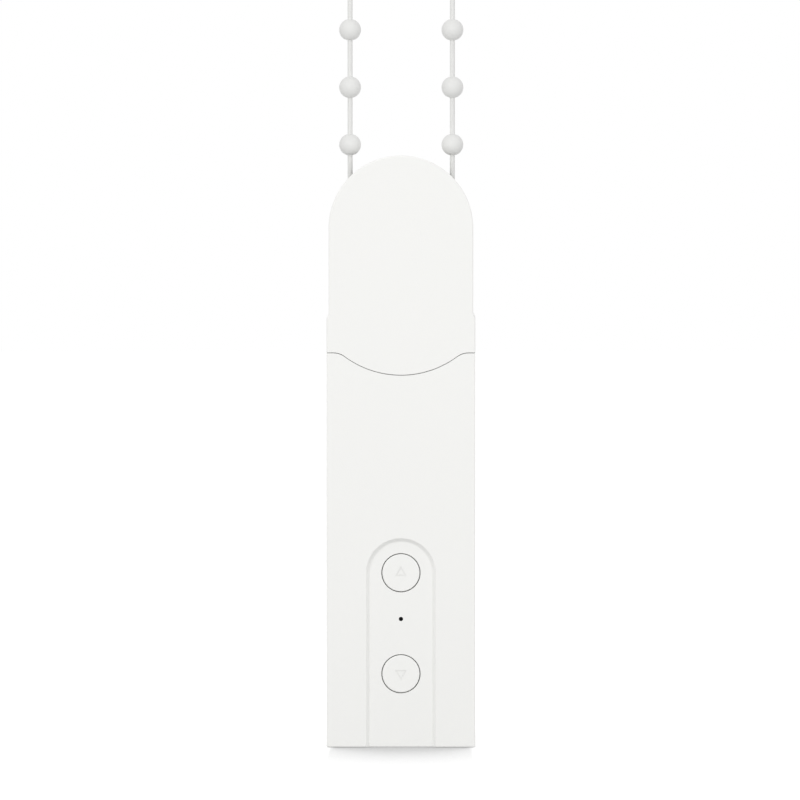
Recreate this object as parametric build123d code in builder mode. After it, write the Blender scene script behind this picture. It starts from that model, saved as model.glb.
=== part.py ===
from build123d import *
import os
from math import acos, atan2, cos, degrees, pi, radians, sin, sqrt, tan

os.makedirs("parts", exist_ok=True)

# Roller blind chain motor: a slim battery motor that slides down onto a wall bracket
# and pulls the blind's own bead chain with a pocket wheel in its rounded head.
#
# Millimetres. The origin is on the wall, in the middle of the bracket's back. X is to
# the right, Z is up and the front faces -Y, so "depth" below is the distance in front
# of the wall. Heights and depths are worked out from the pieces that lie behind one
# another: the chain sets the wheel, and the wheel, gears, motor and cell set the case.

# Bead chain
CHAIN_PITCH = 12.0
BEAD_RADIUS = 2.28
CHAIN_CORD_RADIUS = 0.525
BEADS_UP_EACH_SIDE = 5
FIRST_BEAD_RISE = 7.5

# Chain wheel, with two pockets for each bead so that a 6 mm chain fits it as well
POCKETS = 11
POCKET_STEP = 6.03
POCKET_RADIUS = 2.4
RIM_RECESS = 0.2
CORD_GROOVE_PLAY = 0.25
CHAIN_WHEEL_WIDTH = 6.0
WHEEL_HOLES = 5
WHEEL_HOLE_RADIUS = 1.3

# Walls, gaps and fits
WALL = 1.6
GAP = 0.3
FACE_GAP = 0.14
SHAFT_PLAY = 0.06
SCREW_PLAY = 0.08

# Case
BEAD_ROOM = 0.47
SHOULDER_STEP = 0.45
SHOULDER_RISE = 1.0
SHOULDER_DROP = 18.85
HEAD_DROP = 2.15
CORNER_RADIUS = 0.3
FRONT_ROUNDING = 0.3
BACK_ROUNDING = 1.5
SEAM_SIDE_DROP = 26.1
SEAM_SAG = 4.65
SEAM_ARC_HALF = 12.7
SEAM_BLEND = 4.0
LIP_RISE = 2.5
LIP_THICKNESS = 1.2
PORT_SIDE_PLAY = 0.8
CLIP_WIDTH = 3.4
CLIP_THICKNESS = 1.0
CLIP_REACH = 2.7
PARTING_EASING = 0.2

# Wall bracket and the groove that it fills
BRACKET_HEIGHT = 36.0
BRACKET_THICKNESS = 2.8
BRACKET_WALL_HALF = 7.0
BRACKET_FRONT_HALF = 8.5
BRACKET_HOLE_RADIUS = 1.75
BRACKET_SINK_RADIUS = 3.3
BRACKET_HOLE_SPACING = 22.0
BRACKET_LEAD = 1.0
WALL_CLEARANCE = 0.4

# Front keys, channel and pinhole
CHANNEL_RADIUS = 7.25
CHANNEL_FLOOR_RADIUS = 6.55
CHANNEL_DEPTH = 0.9
CHANNEL_BRINK_EASING = 0.15
CHANNEL_FLOOR_EASING = 0.4
UP_KEY_HEIGHT = 36.42
DOWN_KEY_HEIGHT = 15.3
KEY_RADIUS = 3.9
KEY_SIDE_PLAY = 0.19
KEY_PROUD = 0.15
KEY_FLANGE_RADIUS = 5.0
KEY_FLANGE_THICKNESS = 0.8
KEY_PLAY = 0.1
KEY_TRAVEL = 0.4
KEY_EASING = 0.2
MARK_WIDTH = 2.45
MARK_HEIGHT = 2.15
MARK_LINE = 0.3
MARK_DEPTH = 0.15
PINHOLE_HEIGHT = 26.76
PINHOLE_RADIUS = 0.45
PIPE_COLLAR_RADIUS = 1.3
PIPE_COLLAR_THICKNESS = 0.9
PIPE_RECESS = 0.15

# Control board
BOARD_THICKNESS = 1.0
BOARD_FOOT = 3.0
BOARD_ABOVE_CELL = 2.0
BOARD_CORNER_RADIUS = 0.8
POST_RADIUS = 1.4
POST_EDGE = 0.2
POST_LOW = 10.5
POST_HIGH = 46.0
BOARD_SCREW_RADIUS = 0.7
BOARD_SCREW_HEAD = 1.25
BOARD_SCREW_HEAD_HEIGHT = 0.8
BOARD_SCREW_LENGTH = 3.0
SWITCH_SIDE = 5.2
SWITCH_HEIGHT = 1.6
PLUNGER_RADIUS = 1.5
PLUNGER_INSERT = 0.4
LED_WIDTH = 1.6
LED_HEIGHT = 0.8
LED_THICKNESS = 0.6
RADIO_SIDE = 12.0
RADIO_THICKNESS = 2.1
RADIO_EDGE_GAP = 1.0
CHIP_THICKNESS = 0.9
SOCKET_WIDTH = 8.94
SOCKET_THICKNESS = 3.1
SOCKET_LENGTH = 7.3
SOCKET_SHELL = 0.3
SOCKET_TONGUE = 0.7
SOCKET_FOOT = 0.4
SOCKET_MOUTH_PLAY = 0.25

# Battery cell, in the common 18 by 50 mm size
CELL_RADIUS = 9.2
CELL_LENGTH = 50.0
CELL_FOOT = 4.5
CELL_NUB_RADIUS = 2.8
CELL_NUB_HEIGHT = 0.8
TAB_WIDTH = 5.0
TAB_THICKNESS = 0.2
PAD_WIDTH = 12.0
PAD_LENGTH = 8.0
LEAD_RADIUS = 0.5

# Screws of the case
BOSS_RADIUS = 2.1
CASE_SCREW_RADIUS = 0.95
CASE_SCREW_HEAD = 1.75
CASE_SCREW_HEAD_HEIGHT = 1.2
CASE_SCREW_BITE = 5.0
LOW_BOSS_HEIGHT = 8.5

# Motor
MOTOR_RADIUS = 8.0
MOTOR_CAN_LENGTH = 22.0
MOTOR_CAP_LENGTH = 1.5
MOTOR_BOSS_RADIUS = 3.0
MOTOR_BOSS_LENGTH = 1.2
MOTOR_SHAFT_RADIUS = 1.0
MOTOR_SHAFT_HOLD = 4.0
MOTOR_SCREW_X = 5.2
MOTOR_SCREW_RADIUS = 0.8
MOTOR_SCREW_HEAD = 1.4
MOTOR_SCREW_HEAD_HEIGHT = 0.8
MOTOR_SCREW_BITE = 2.5
TERMINAL_SPREAD = 2.6
TERMINAL_WIDTH = 1.6
TERMINAL_THICKNESS = 0.4
TERMINAL_LENGTH = 2.0

# Gears. The worm drives the reduction gear, whose pinion drives the output gear.
MODULE = 0.8
PRESSURE = radians(20)
ADDENDUM = 0.9
DEDENDUM = 1.3
BACKLASH = 0.14
WORM_BACKLASH = 0.4
WORM_PITCH_RADIUS = 2.6
WORM_LENGTH = 9.0
WORM_WHEEL_TEETH = 16
WORM_WHEEL_WIDTH = 4.0
PINION_TEETH = 12
OUTPUT_TEETH = 24
OUTPUT_WIDTH = 3.6
SHELF_THICKNESS = 1.5
PLATE_THICKNESS = 1.6
FRAME_THICKNESS = 1.7
SEAT_RISE = 1.8
BUSH_FLANGE = 0.6
BUSH_RADIUS = 3.2
BUSH_FLANGE_RADIUS = 4.2
FRONT_BUSH_LENGTH = 4.0
CARRIER_BOSS_RADIUS = 5.0
DRIVE_AXLE_RADIUS = 2.0
AXLE_FLAT = 1.5
REDUCTION_AXLE_RADIUS = 1.2
PILLAR_RADIUS = 1.7
PILLAR_X = 11.5
PILLAR_DROP = 8.7
TOP_PILLAR_RISE = 13.2
GEAR_SCREW_RADIUS = 0.9
GEAR_SCREW_HEAD = 1.6
GEAR_SCREW_HEAD_HEIGHT = 1.1
CLIP_RING_RADIUS = 3.4
CLIP_RING_THICKNESS = 0.6
AXLE_NECK = 0.4
FRONT_ROOM = 3.4
GUIDE_THICKNESS = 1.1
GUIDE_HALF_ANGLE = 38.0
GUIDE_HEIGHT = 5.6

# Pitch radius of the chain wheel, from the straight step between two pockets
PITCH_RADIUS = POCKET_STEP / 2 / sin(pi / POCKETS)
RIM_RADIUS = PITCH_RADIUS - RIM_RECESS
CHAIN_REACH = PITCH_RADIUS + BEAD_RADIUS

# Width of the case: the head clears the beads on the wheel, the body its screws and cell
BOSS_X = CELL_RADIUS + GAP + BOSS_RADIUS
HEAD_HALF = max(CHAIN_REACH + BEAD_ROOM, BOSS_X + BOSS_RADIUS - SHOULDER_STEP) + WALL
BODY_HALF = HEAD_HALF + SHOULDER_STEP
INSIDE_CLIPS_HALF = BODY_HALF - WALL - CLIP_THICKNESS - 3 * GAP
BOARD_HALF = BOSS_X - BOSS_RADIUS - GAP
POST_X = BOARD_HALF - POST_RADIUS - POST_EDGE
RADIO_WIDTH = min(RADIO_SIDE, 2 * (POST_X - POST_RADIUS - POST_EDGE))

# Depths, from the wall to the front
BACK = WALL_CLEARANCE
BACK_INSIDE = BACK + WALL
GROOVE_FLOOR = BRACKET_THICKNESS + GAP
GROOVE_INSIDE = GROOVE_FLOOR + WALL
CELL_DEPTH = GROOVE_INSIDE + GAP + CELL_RADIUS
MOTOR_DEPTH = GROOVE_INSIDE + GAP + MOTOR_RADIUS
WORM_TIP_RADIUS = WORM_PITCH_RADIUS + ADDENDUM * MODULE
SPLIT = MOTOR_DEPTH + WORM_TIP_RADIUS + 3 * GAP
CARRIER_FRONT = SPLIT + PLATE_THICKNESS
WHEEL_BACK = CARRIER_FRONT + BUSH_FLANGE + 0.05
WHEEL_FRONT = WHEEL_BACK + CHAIN_WHEEL_WIDTH
CHAIN_DEPTH = WHEEL_BACK + CHAIN_WHEEL_WIDTH / 2
BOARD_BACK = CELL_DEPTH + CELL_RADIUS + GAP
BOARD_FRONT = BOARD_BACK + BOARD_THICKNESS
SWITCH_FRONT = BOARD_FRONT + SWITCH_HEIGHT
KEY_ROOM = GAP + KEY_TRAVEL + KEY_FLANGE_THICKNESS + KEY_PLAY + WALL + CHANNEL_DEPTH
FRONT = max(WHEEL_FRONT + FRONT_ROOM + WALL, SWITCH_FRONT + KEY_ROOM)
FRONT_INSIDE = FRONT - WALL
FRAME_BACK = BACK_INSIDE + SEAT_RISE
FRAME_FRONT = FRAME_BACK + FRAME_THICKNESS
OUTPUT_BACK = FRAME_FRONT + BUSH_FLANGE + GAP
PINION_BACK = FRAME_FRONT + 2 * GAP
WORM_WHEEL_BACK = MOTOR_DEPTH - WORM_WHEEL_WIDTH / 2
WORM_WHEEL_FRONT = MOTOR_DEPTH + WORM_WHEEL_WIDTH / 2
CHANNEL_FLOOR = FRONT - CHANNEL_DEPTH
CHANNEL_INSIDE = CHANNEL_FLOOR - WALL
KEY_FLANGE_FRONT = CHANNEL_INSIDE - KEY_PLAY
KEY_FLANGE_BACK = KEY_FLANGE_FRONT - KEY_FLANGE_THICKNESS
KEY_FRONT = CHANNEL_FLOOR + KEY_PROUD

# Sideways places of the motor and the reduction gear
MOTOR_X = -(BODY_HALF - WALL - GAP - MOTOR_RADIUS)
WORM_WHEEL_RADIUS = MODULE * WORM_WHEEL_TEETH / 2
WORM_WHEEL_TIP = WORM_WHEEL_RADIUS + ADDENDUM * MODULE
PINION_RADIUS = MODULE * PINION_TEETH / 2
OUTPUT_RADIUS = MODULE * OUTPUT_TEETH / 2
REDUCTION_X = MOTOR_X + WORM_PITCH_RADIUS + WORM_WHEEL_RADIUS
REDUCTION_DROP = sqrt((PINION_RADIUS + OUTPUT_RADIUS) ** 2 - REDUCTION_X**2)

# Heights above the unit's bottom edge, then the same from the origin
CELL_TOP = CELL_FOOT + CELL_LENGTH
HIGH_BOSS_HEIGHT = CELL_TOP + 2 * GAP + BOSS_RADIUS
MOTOR_FOOT = HIGH_BOSS_HEIGHT + BOSS_RADIUS + 0.1
MOTOR_TOP = MOTOR_FOOT + MOTOR_CAP_LENGTH + MOTOR_CAN_LENGTH
SHELF_TOP = MOTOR_TOP + 0.1 + SHELF_THICKNESS
REDUCTION_HEIGHT = SHELF_TOP + WORM_WHEEL_TIP + 2 * GAP
WHEEL_HEIGHT = REDUCTION_HEIGHT + REDUCTION_DROP
HEAD_HEIGHT = WHEEL_HEIGHT + HEAD_DROP
UNIT_HEIGHT = HEAD_HEIGHT + HEAD_HALF
SHOULDER_HEIGHT = HEAD_HEIGHT - SHOULDER_DROP
SEAM_HEIGHT = HEAD_HEIGHT - SEAM_SIDE_DROP
FOOT = -UNIT_HEIGHT / 2

UP_KEY_Z = FOOT + UP_KEY_HEIGHT
DOWN_KEY_Z = FOOT + DOWN_KEY_HEIGHT
PINHOLE_Z = FOOT + PINHOLE_HEIGHT
CELL_Z = FOOT + CELL_FOOT
CELL_TOP_Z = FOOT + CELL_TOP
MOTOR_Z = FOOT + MOTOR_FOOT
MOTOR_CAN_Z = MOTOR_Z + MOTOR_CAP_LENGTH
MOTOR_TOP_Z = FOOT + MOTOR_TOP
SHELF_TOP_Z = FOOT + SHELF_TOP
SHELF_Z = SHELF_TOP_Z - SHELF_THICKNESS
REDUCTION_Z = FOOT + REDUCTION_HEIGHT
WHEEL_Z = FOOT + WHEEL_HEIGHT
HEAD_Z = FOOT + HEAD_HEIGHT
SHOULDER_Z = FOOT + SHOULDER_HEIGHT
SEAM_Z = FOOT + SEAM_HEIGHT
BOARD_Z = FOOT + BOARD_FOOT
RADIO_ROOM_Z = UP_KEY_Z + SWITCH_SIDE / 2 + GAP + RADIO_SIDE + RADIO_EDGE_GAP
BOARD_TOP_Z = max(CELL_TOP_Z + BOARD_ABOVE_CELL, RADIO_ROOM_Z)
GROOVE_TOP_Z = BRACKET_HEIGHT / 2 + GAP
CLIP_Z = SEAM_Z + FACE_GAP + CLIP_WIDTH / 2 + 1
CARRIER_Z = max(SHELF_TOP_Z + 2 * GAP, CLIP_Z + CLIP_WIDTH / 2 + GAP)

# Where the chain crosses the head's outline, and where its loop turns back above
PORT_Z = HEAD_Z + sqrt(HEAD_HALF**2 - PITCH_RADIUS**2)
PORT_HALF = BEAD_RADIUS + PORT_SIDE_PLAY
TOP_BEAD_ANGLE = 90 - degrees(CHAIN_PITCH / 2 / PITCH_RADIUS)
LAST_BEAD_RISE = FIRST_BEAD_RISE + (BEADS_UP_EACH_SIDE - 1) * CHAIN_PITCH
LOOP_Z = WHEEL_Z + LAST_BEAD_RISE + CHAIN_PITCH - PITCH_RADIUS * radians(TOP_BEAD_ANGLE)

CASE_SCREW_PLACES = [
    (side * BOSS_X, FOOT + height)
    for side in (-1, 1)
    for height in (LOW_BOSS_HEIGHT, HIGH_BOSS_HEIGHT)
]
BOARD_SCREW_PLACES = [(side * POST_X, FOOT + height) for side in (-1, 1) for height in (POST_LOW, POST_HIGH)]
GEAR_SCREW_PLACES = [
    (-PILLAR_X, WHEEL_Z - PILLAR_DROP),
    (PILLAR_X, WHEEL_Z - PILLAR_DROP),
    (0, WHEEL_Z + TOP_PILLAR_RISE),
]


def at_depth(depth):
    """Plane parallel to the wall, facing forward, this far in front of it."""
    return Plane.XZ.offset(depth)


def case_outline(inset):
    """Front outline of the case, drawn smaller by an inset."""
    body, head = BODY_HALF - inset, HEAD_HALF - inset
    low = FOOT + inset
    with BuildSketch(mode=Mode.PRIVATE) as outline:
        with BuildLine():
            Polyline((-head, HEAD_Z), (-head, SHOULDER_Z + SHOULDER_RISE), (-body, SHOULDER_Z), (-body, low))
            Line((-body, low), (body, low))
            Polyline((body, low), (body, SHOULDER_Z), (head, SHOULDER_Z + SHOULDER_RISE), (head, HEAD_Z))
            ThreePointArc((head, HEAD_Z), (0, HEAD_Z + head), (-head, HEAD_Z))
        make_face()
        corners = outline.vertices().group_by(Axis.Y)[0]
        fillet(corners, max(CORNER_RADIUS - inset, 0.2))
    return outline.sketch


def below_seam(lift):
    """Everything in the front view that lies under the seam, with the seam moved up by a lift."""
    reach = 2 * BODY_HALF
    side = SEAM_Z + lift
    with BuildSketch(mode=Mode.PRIVATE) as area:
        with BuildLine():
            Line((-reach, side), (-SEAM_ARC_HALF, side))
            ThreePointArc((-SEAM_ARC_HALF, side), (0, side - SEAM_SAG), (SEAM_ARC_HALF, side))
            Line((SEAM_ARC_HALF, side), (reach, side))
            Polyline((reach, side), (reach, FOOT - reach), (-reach, FOOT - reach), (-reach, side))
        make_face()
        bends = area.vertices().filter_by(lambda v: abs(abs(v.X) - SEAM_ARC_HALF) < 0.01)
        fillet(bends, SEAM_BLEND)
    return area.sketch


def above(height):
    """Everything in the front view that lies over a height."""
    reach = 2 * UNIT_HEIGHT
    with BuildSketch(mode=Mode.PRIVATE) as area:
        with Locations((0, height + reach / 2)):
            Rectangle(reach, reach)
    return area.sketch


def channel_outline(radius):
    """The keys' channel: round at the top, running out past the bottom edge."""
    past = FOOT - CHANNEL_RADIUS
    with BuildSketch(mode=Mode.PRIVATE) as outline:
        with BuildLine():
            Line((-radius, UP_KEY_Z), (-radius, past))
            Line((-radius, past), (radius, past))
            Line((radius, past), (radius, UP_KEY_Z))
            ThreePointArc((radius, UP_KEY_Z), (0, UP_KEY_Z + radius), (-radius, UP_KEY_Z))
        make_face()
    return outline.sketch


def involute(angle):
    return tan(angle) - angle


def gear_outline(teeth, turn, backlash):
    """Outline of a gear, with the middle of one tooth turned to an angle from +X."""
    pitch, root, tip = MODULE * teeth / 2, MODULE * (teeth / 2 - DEDENDUM), MODULE * (teeth / 2 + ADDENDUM)
    base = pitch * cos(PRESSURE)
    half_tooth = pi / (2 * teeth) - backlash / (2 * pitch) + involute(PRESSURE)

    def flank(radius):
        angle = half_tooth - involute(acos(min(base / radius, 1)))
        return radius * cos(angle), radius * sin(angle)

    low, inner = max(base, root), root - 0.2 * MODULE
    right = [flank(r) for r in (low, (low + tip) / 2, tip)]
    left = [(x, -y) for x, y in right]
    foot = (inner * cos(half_tooth), inner * sin(half_tooth))
    with BuildSketch(mode=Mode.PRIVATE) as tooth:
        with BuildLine():
            ThreePointArc(*right)
            Line(right[2], left[2])
            ThreePointArc(*left)
            Polyline(left[0], (foot[0], -foot[1]), foot, right[0])
        make_face()
    with BuildSketch(mode=Mode.PRIVATE) as outline:
        Circle(root)
        with PolarLocations(0, teeth, start_angle=turn):
            add(tooth.sketch)
    return outline.sketch


def chain_bead(place):
    with Locations(place):
        Sphere(BEAD_RADIUS)


# Wall bracket: a dovetail plate, narrow at the wall, with two countersunk screw holes
with BuildPart() as wall_bracket:
    with BuildSketch(Plane.XY.offset(-BRACKET_HEIGHT / 2)):
        with BuildLine():
            Polyline(
                (-BRACKET_WALL_HALF, 0),
                (-BRACKET_FRONT_HALF, -BRACKET_THICKNESS),
                (BRACKET_FRONT_HALF, -BRACKET_THICKNESS),
                (BRACKET_WALL_HALF, 0),
                close=True,
            )
        make_face()
    extrude(amount=BRACKET_HEIGHT)
    top_front = wall_bracket.edges().group_by(Axis.Z)[-1].sort_by(Axis.Y)[0]
    chamfer(top_front, BRACKET_LEAD)
    with Locations(at_depth(BRACKET_THICKNESS)):
        with GridLocations(1, BRACKET_HOLE_SPACING, 1, 2):
            CounterSinkHole(BRACKET_HOLE_RADIUS, BRACKET_SINK_RADIUS)
wall_bracket.part.label = "wall_bracket"
export_step(wall_bracket.part, "parts/wall_bracket.step")

# Rear housing: the back shell over the whole height, open to the front
with BuildPart() as rear_housing:
    with BuildSketch(at_depth(BACK)):
        add(case_outline(0))
    extrude(amount=SPLIT - BACK)
    fillet(rear_housing.faces().sort_by(Axis.Y)[-1].edges(), BACK_ROUNDING)
    chamfer(rear_housing.faces().sort_by(Axis.Y)[0].edges(), PARTING_EASING)
    with BuildSketch(at_depth(BACK_INSIDE)):
        add(case_outline(WALL))
    extrude(amount=SPLIT, mode=Mode.SUBTRACT)
    # Raised inner wall over the bracket's groove
    groove_wall_half = BRACKET_FRONT_HALF + GAP + WALL
    with BuildSketch(Plane.XY.offset(FOOT + WALL / 2)):
        with Locations((0, -(BACK + GROOVE_INSIDE) / 2)):
            Rectangle(2 * groove_wall_half, GROOVE_INSIDE - BACK)
    extrude(amount=GROOVE_TOP_Z + WALL - FOOT - WALL / 2)
    # Cradle ribs, cut to the cell and to the motor
    for height, x, radius, depth in (
        (CELL_FOOT + CELL_LENGTH / 5, 0, CELL_RADIUS, CELL_DEPTH),
        (CELL_FOOT + CELL_LENGTH * 4 / 5, 0, CELL_RADIUS, CELL_DEPTH),
        (MOTOR_FOOT + MOTOR_CAN_LENGTH / 4, MOTOR_X, MOTOR_RADIUS, MOTOR_DEPTH),
        (MOTOR_FOOT + MOTOR_CAN_LENGTH * 3 / 4, MOTOR_X, MOTOR_RADIUS, MOTOR_DEPTH),
    ):
        with BuildSketch(Plane.XY.offset(FOOT + height)):
            with Locations((0, -(BACK + depth) / 2)):
                Rectangle(2 * (BODY_HALF - WALL / 2), depth - BACK - WALL)
            with Locations((x, -depth)):
                Circle(radius + GAP / 2, mode=Mode.SUBTRACT)
        extrude(amount=WALL)
    # The groove itself, open at the bottom
    slope = (BRACKET_FRONT_HALF - BRACKET_WALL_HALF) / BRACKET_THICKNESS
    mouth_half = BRACKET_WALL_HALF + GAP
    with BuildSketch(Plane.XY.offset(FOOT - WALL)):
        with BuildLine():
            Polyline(
                (-mouth_half, 0),
                (-mouth_half - slope * GROOVE_FLOOR, -GROOVE_FLOOR),
                (mouth_half + slope * GROOVE_FLOOR, -GROOVE_FLOOR),
                (mouth_half, 0),
                close=True,
            )
        make_face()
    extrude(amount=GROOVE_TOP_Z - FOOT + WALL, mode=Mode.SUBTRACT)
    # Screw bosses, bored through, with sunk seats for the heads
    with BuildSketch(at_depth(BACK + WALL / 2)):
        with Locations(*CASE_SCREW_PLACES):
            Circle(BOSS_RADIUS)
    extrude(amount=SPLIT - BACK - WALL / 2)
    with BuildSketch(at_depth(BACK_INSIDE - WALL / 2)):
        with Locations(*GEAR_SCREW_PLACES):
            Circle(PILLAR_RADIUS + GAP)
    extrude(amount=WALL / 2 + SEAT_RISE)
    with BuildSketch(at_depth(BACK_INSIDE - WALL / 2)):
        with Locations(*GEAR_SCREW_PLACES):
            Circle(GEAR_SCREW_RADIUS + SCREW_PLAY)
    extrude(amount=WALL / 2 + SEAT_RISE, mode=Mode.SUBTRACT)
    with BuildSketch(at_depth(0)):
        with Locations(*CASE_SCREW_PLACES):
            Circle(CASE_SCREW_RADIUS + SCREW_PLAY)
    extrude(amount=SPLIT, mode=Mode.SUBTRACT)
    with BuildSketch(at_depth(0)):
        with Locations(*CASE_SCREW_PLACES):
            Circle(CASE_SCREW_HEAD + GAP)
    extrude(amount=BACK + CASE_SCREW_HEAD_HEIGHT + GAP, mode=Mode.SUBTRACT)
rear_housing.part.label = "rear_housing"
export_step(rear_housing.part, "parts/rear_housing.step")

# Front housing: the front shell up to the curved seam, with the channel for the keys
with BuildPart() as front_housing:
    with BuildSketch(at_depth(SPLIT)):
        add(case_outline(0))
        add(below_seam(0), mode=Mode.INTERSECT)
    extrude(amount=FRONT - SPLIT)
    front_edges = front_housing.faces().sort_by(Axis.Y)[0].edges()
    fillet(front_edges.filter_by(lambda e: e.center().Z < SEAM_Z - SEAM_SAG - 1), FRONT_ROUNDING)
    parting_edges = front_housing.faces().sort_by(Axis.Y)[-1].edges()
    chamfer(parting_edges.filter_by(lambda e: e.center().Z < SEAM_Z - SEAM_SAG - 1), PARTING_EASING)
    with BuildSketch(at_depth(SPLIT)):
        add(case_outline(WALL))
    extrude(amount=FRONT_INSIDE - SPLIT, mode=Mode.SUBTRACT)
    # Lip between the head cover's clips, which catches the cover's lower edge from behind
    for rise, thickness in ((LIP_RISE, LIP_THICKNESS), (0, FACE_GAP + LIP_THICKNESS + WALL / 2)):
        with BuildSketch(at_depth(FRONT_INSIDE - FACE_GAP - LIP_THICKNESS)):
            with Locations((0, SEAM_Z)):
                Rectangle(2 * INSIDE_CLIPS_HALF, 4 * SEAM_SAG)
            add(below_seam(rise), mode=Mode.INTERSECT)
            add(below_seam(-LIP_RISE), mode=Mode.SUBTRACT)
        extrude(amount=thickness)
    # Thicker wall behind the channel, then the channel with sloped sides
    with BuildSketch(at_depth(CHANNEL_INSIDE)):
        add(channel_outline(CHANNEL_RADIUS + WALL / 2))
        add(case_outline(WALL / 2), mode=Mode.INTERSECT)
    extrude(amount=FRONT_INSIDE - CHANNEL_INSIDE + WALL / 2)
    with BuildSketch(at_depth(FRONT)):
        add(channel_outline(CHANNEL_RADIUS))
    with BuildSketch(at_depth(CHANNEL_FLOOR)):
        add(channel_outline(CHANNEL_FLOOR_RADIUS))
    loft(mode=Mode.SUBTRACT)
    for depth, easing in ((CHANNEL_FLOOR, CHANNEL_FLOOR_EASING), (FRONT, CHANNEL_BRINK_EASING)):
        channel_edges = front_housing.edges().filter_by(
            lambda e: abs(e.center().X) < CHANNEL_RADIUS + 0.01
            and FOOT + WALL < e.center().Z < UP_KEY_Z + CHANNEL_RADIUS + 0.01
            and abs(e.center().Y + depth) < 0.01
        )
        fillet(channel_edges, easing)
    # Posts for the board and bosses for the case screws
    with BuildSketch(at_depth(BOARD_FRONT)):
        with Locations(*BOARD_SCREW_PLACES):
            Circle(POST_RADIUS)
    extrude(amount=FRONT_INSIDE - BOARD_FRONT + WALL / 3)
    with BuildSketch(at_depth(SPLIT)):
        with Locations(*CASE_SCREW_PLACES):
            Circle(BOSS_RADIUS)
    extrude(amount=FRONT_INSIDE - SPLIT + WALL / 2)
    with BuildSketch(at_depth(BOARD_FRONT)):
        with Locations(*BOARD_SCREW_PLACES):
            Circle(BOARD_SCREW_RADIUS + SCREW_PLAY)
    extrude(amount=BOARD_SCREW_LENGTH, mode=Mode.SUBTRACT)
    with BuildSketch(at_depth(SPLIT)):
        with Locations(*CASE_SCREW_PLACES):
            Circle(CASE_SCREW_RADIUS + SCREW_PLAY)
    extrude(amount=CASE_SCREW_BITE + GAP, mode=Mode.SUBTRACT)
    # Openings for the keys, the pinhole and the charging socket
    with BuildSketch(at_depth(CHANNEL_INSIDE - WALL)):
        with Locations((0, UP_KEY_Z), (0, DOWN_KEY_Z)):
            Circle(KEY_RADIUS + KEY_SIDE_PLAY)
        with Locations((0, PINHOLE_Z)):
            Circle(PINHOLE_RADIUS)
    extrude(amount=FRONT, mode=Mode.SUBTRACT)
    with BuildSketch(Plane.XY.offset(FOOT - WALL)):
        with Locations((0, -BOARD_FRONT - SOCKET_THICKNESS / 2)):
            SlotOverall(SOCKET_WIDTH + 2 * SOCKET_MOUTH_PLAY, SOCKET_THICKNESS + 2 * SOCKET_MOUTH_PLAY)
    extrude(amount=2 * WALL + GAP, mode=Mode.SUBTRACT)
front_housing.part.label = "front_housing"
export_step(front_housing.part, "parts/front_housing.step")

# Head cover: the rounded front shell over the chain wheel, with a port for each strand
with BuildPart() as head_cover:
    with BuildSketch(at_depth(SPLIT + FACE_GAP)):
        add(case_outline(0))
        add(below_seam(FACE_GAP), mode=Mode.SUBTRACT)
    extrude(amount=FRONT - SPLIT - FACE_GAP)
    cover_edges = head_cover.faces().sort_by(Axis.Y)[0].edges()
    fillet(cover_edges.filter_by(lambda e: e.center().Z > SEAM_Z + 2), FRONT_ROUNDING)
    cover_parting = head_cover.faces().sort_by(Axis.Y)[-1].edges()
    chamfer(cover_parting.filter_by(lambda e: e.center().Z > SEAM_Z + 2), PARTING_EASING)
    with BuildSketch(at_depth(SPLIT)):
        add(case_outline(WALL))
    extrude(amount=FRONT_INSIDE - SPLIT, mode=Mode.SUBTRACT)
    with BuildSketch(at_depth(SPLIT)):
        with Locations((-PITCH_RADIUS, HEAD_Z + HEAD_DROP), (PITCH_RADIUS, HEAD_Z + HEAD_DROP)):
            Rectangle(2 * PORT_HALF, HEAD_HALF + WALL, align=(Align.CENTER, Align.MIN))
    extrude(amount=CHAIN_DEPTH + PORT_HALF - SPLIT, mode=Mode.SUBTRACT)
    # Two clips that reach into the rear housing
    for side in (-1, 1):
        with Locations((side * (BODY_HALF - WALL - GAP - CLIP_THICKNESS / 2), -SPLIT, CLIP_Z)):
            Box(CLIP_THICKNESS, 2 * CLIP_REACH, CLIP_WIDTH)
        with Locations((side * (BODY_HALF - WALL - GAP / 2), -SPLIT - FACE_GAP, CLIP_Z)):
            Box(3 * GAP, CLIP_REACH - FACE_GAP, CLIP_WIDTH, align=(Align.CENTER, Align.MAX, Align.CENTER))
head_cover.part.label = "head_cover"
export_step(head_cover.part, "parts/head_cover.step")


# Keys: round caps with a flange inside and a triangle sunk in the face
def key_cap(z, points_up):
    flip = 1 if points_up else -1
    with BuildPart() as cap:
        with BuildSketch(at_depth(KEY_FLANGE_BACK)):
            with Locations((0, z)):
                Circle(KEY_FLANGE_RADIUS)
        extrude(amount=KEY_FLANGE_THICKNESS)
        with BuildSketch(at_depth(KEY_FLANGE_FRONT)):
            with Locations((0, z)):
                Circle(KEY_RADIUS)
        extrude(amount=KEY_FRONT - KEY_FLANGE_FRONT)
        fillet(cap.faces().sort_by(Axis.Y)[0].edges(), KEY_EASING)
        with BuildSketch(at_depth(KEY_FRONT)) as mark:
            with BuildLine():
                Polyline(
                    (-MARK_WIDTH / 2, z - flip * MARK_HEIGHT / 3),
                    (MARK_WIDTH / 2, z - flip * MARK_HEIGHT / 3),
                    (0, z + flip * MARK_HEIGHT * 2 / 3),
                    close=True,
                )
            make_face()
            offset(amount=-MARK_LINE, mode=Mode.SUBTRACT)
        extrude(amount=-MARK_DEPTH, mode=Mode.SUBTRACT)
    return cap


up_button = key_cap(UP_KEY_Z, True)
up_button.part.label = "up_button"
export_step(up_button.part, "parts/up_button.step")
down_button = key_cap(DOWN_KEY_Z, False)
down_button.part.label = "down_button"
export_step(down_button.part, "parts/down_button.step")

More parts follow.
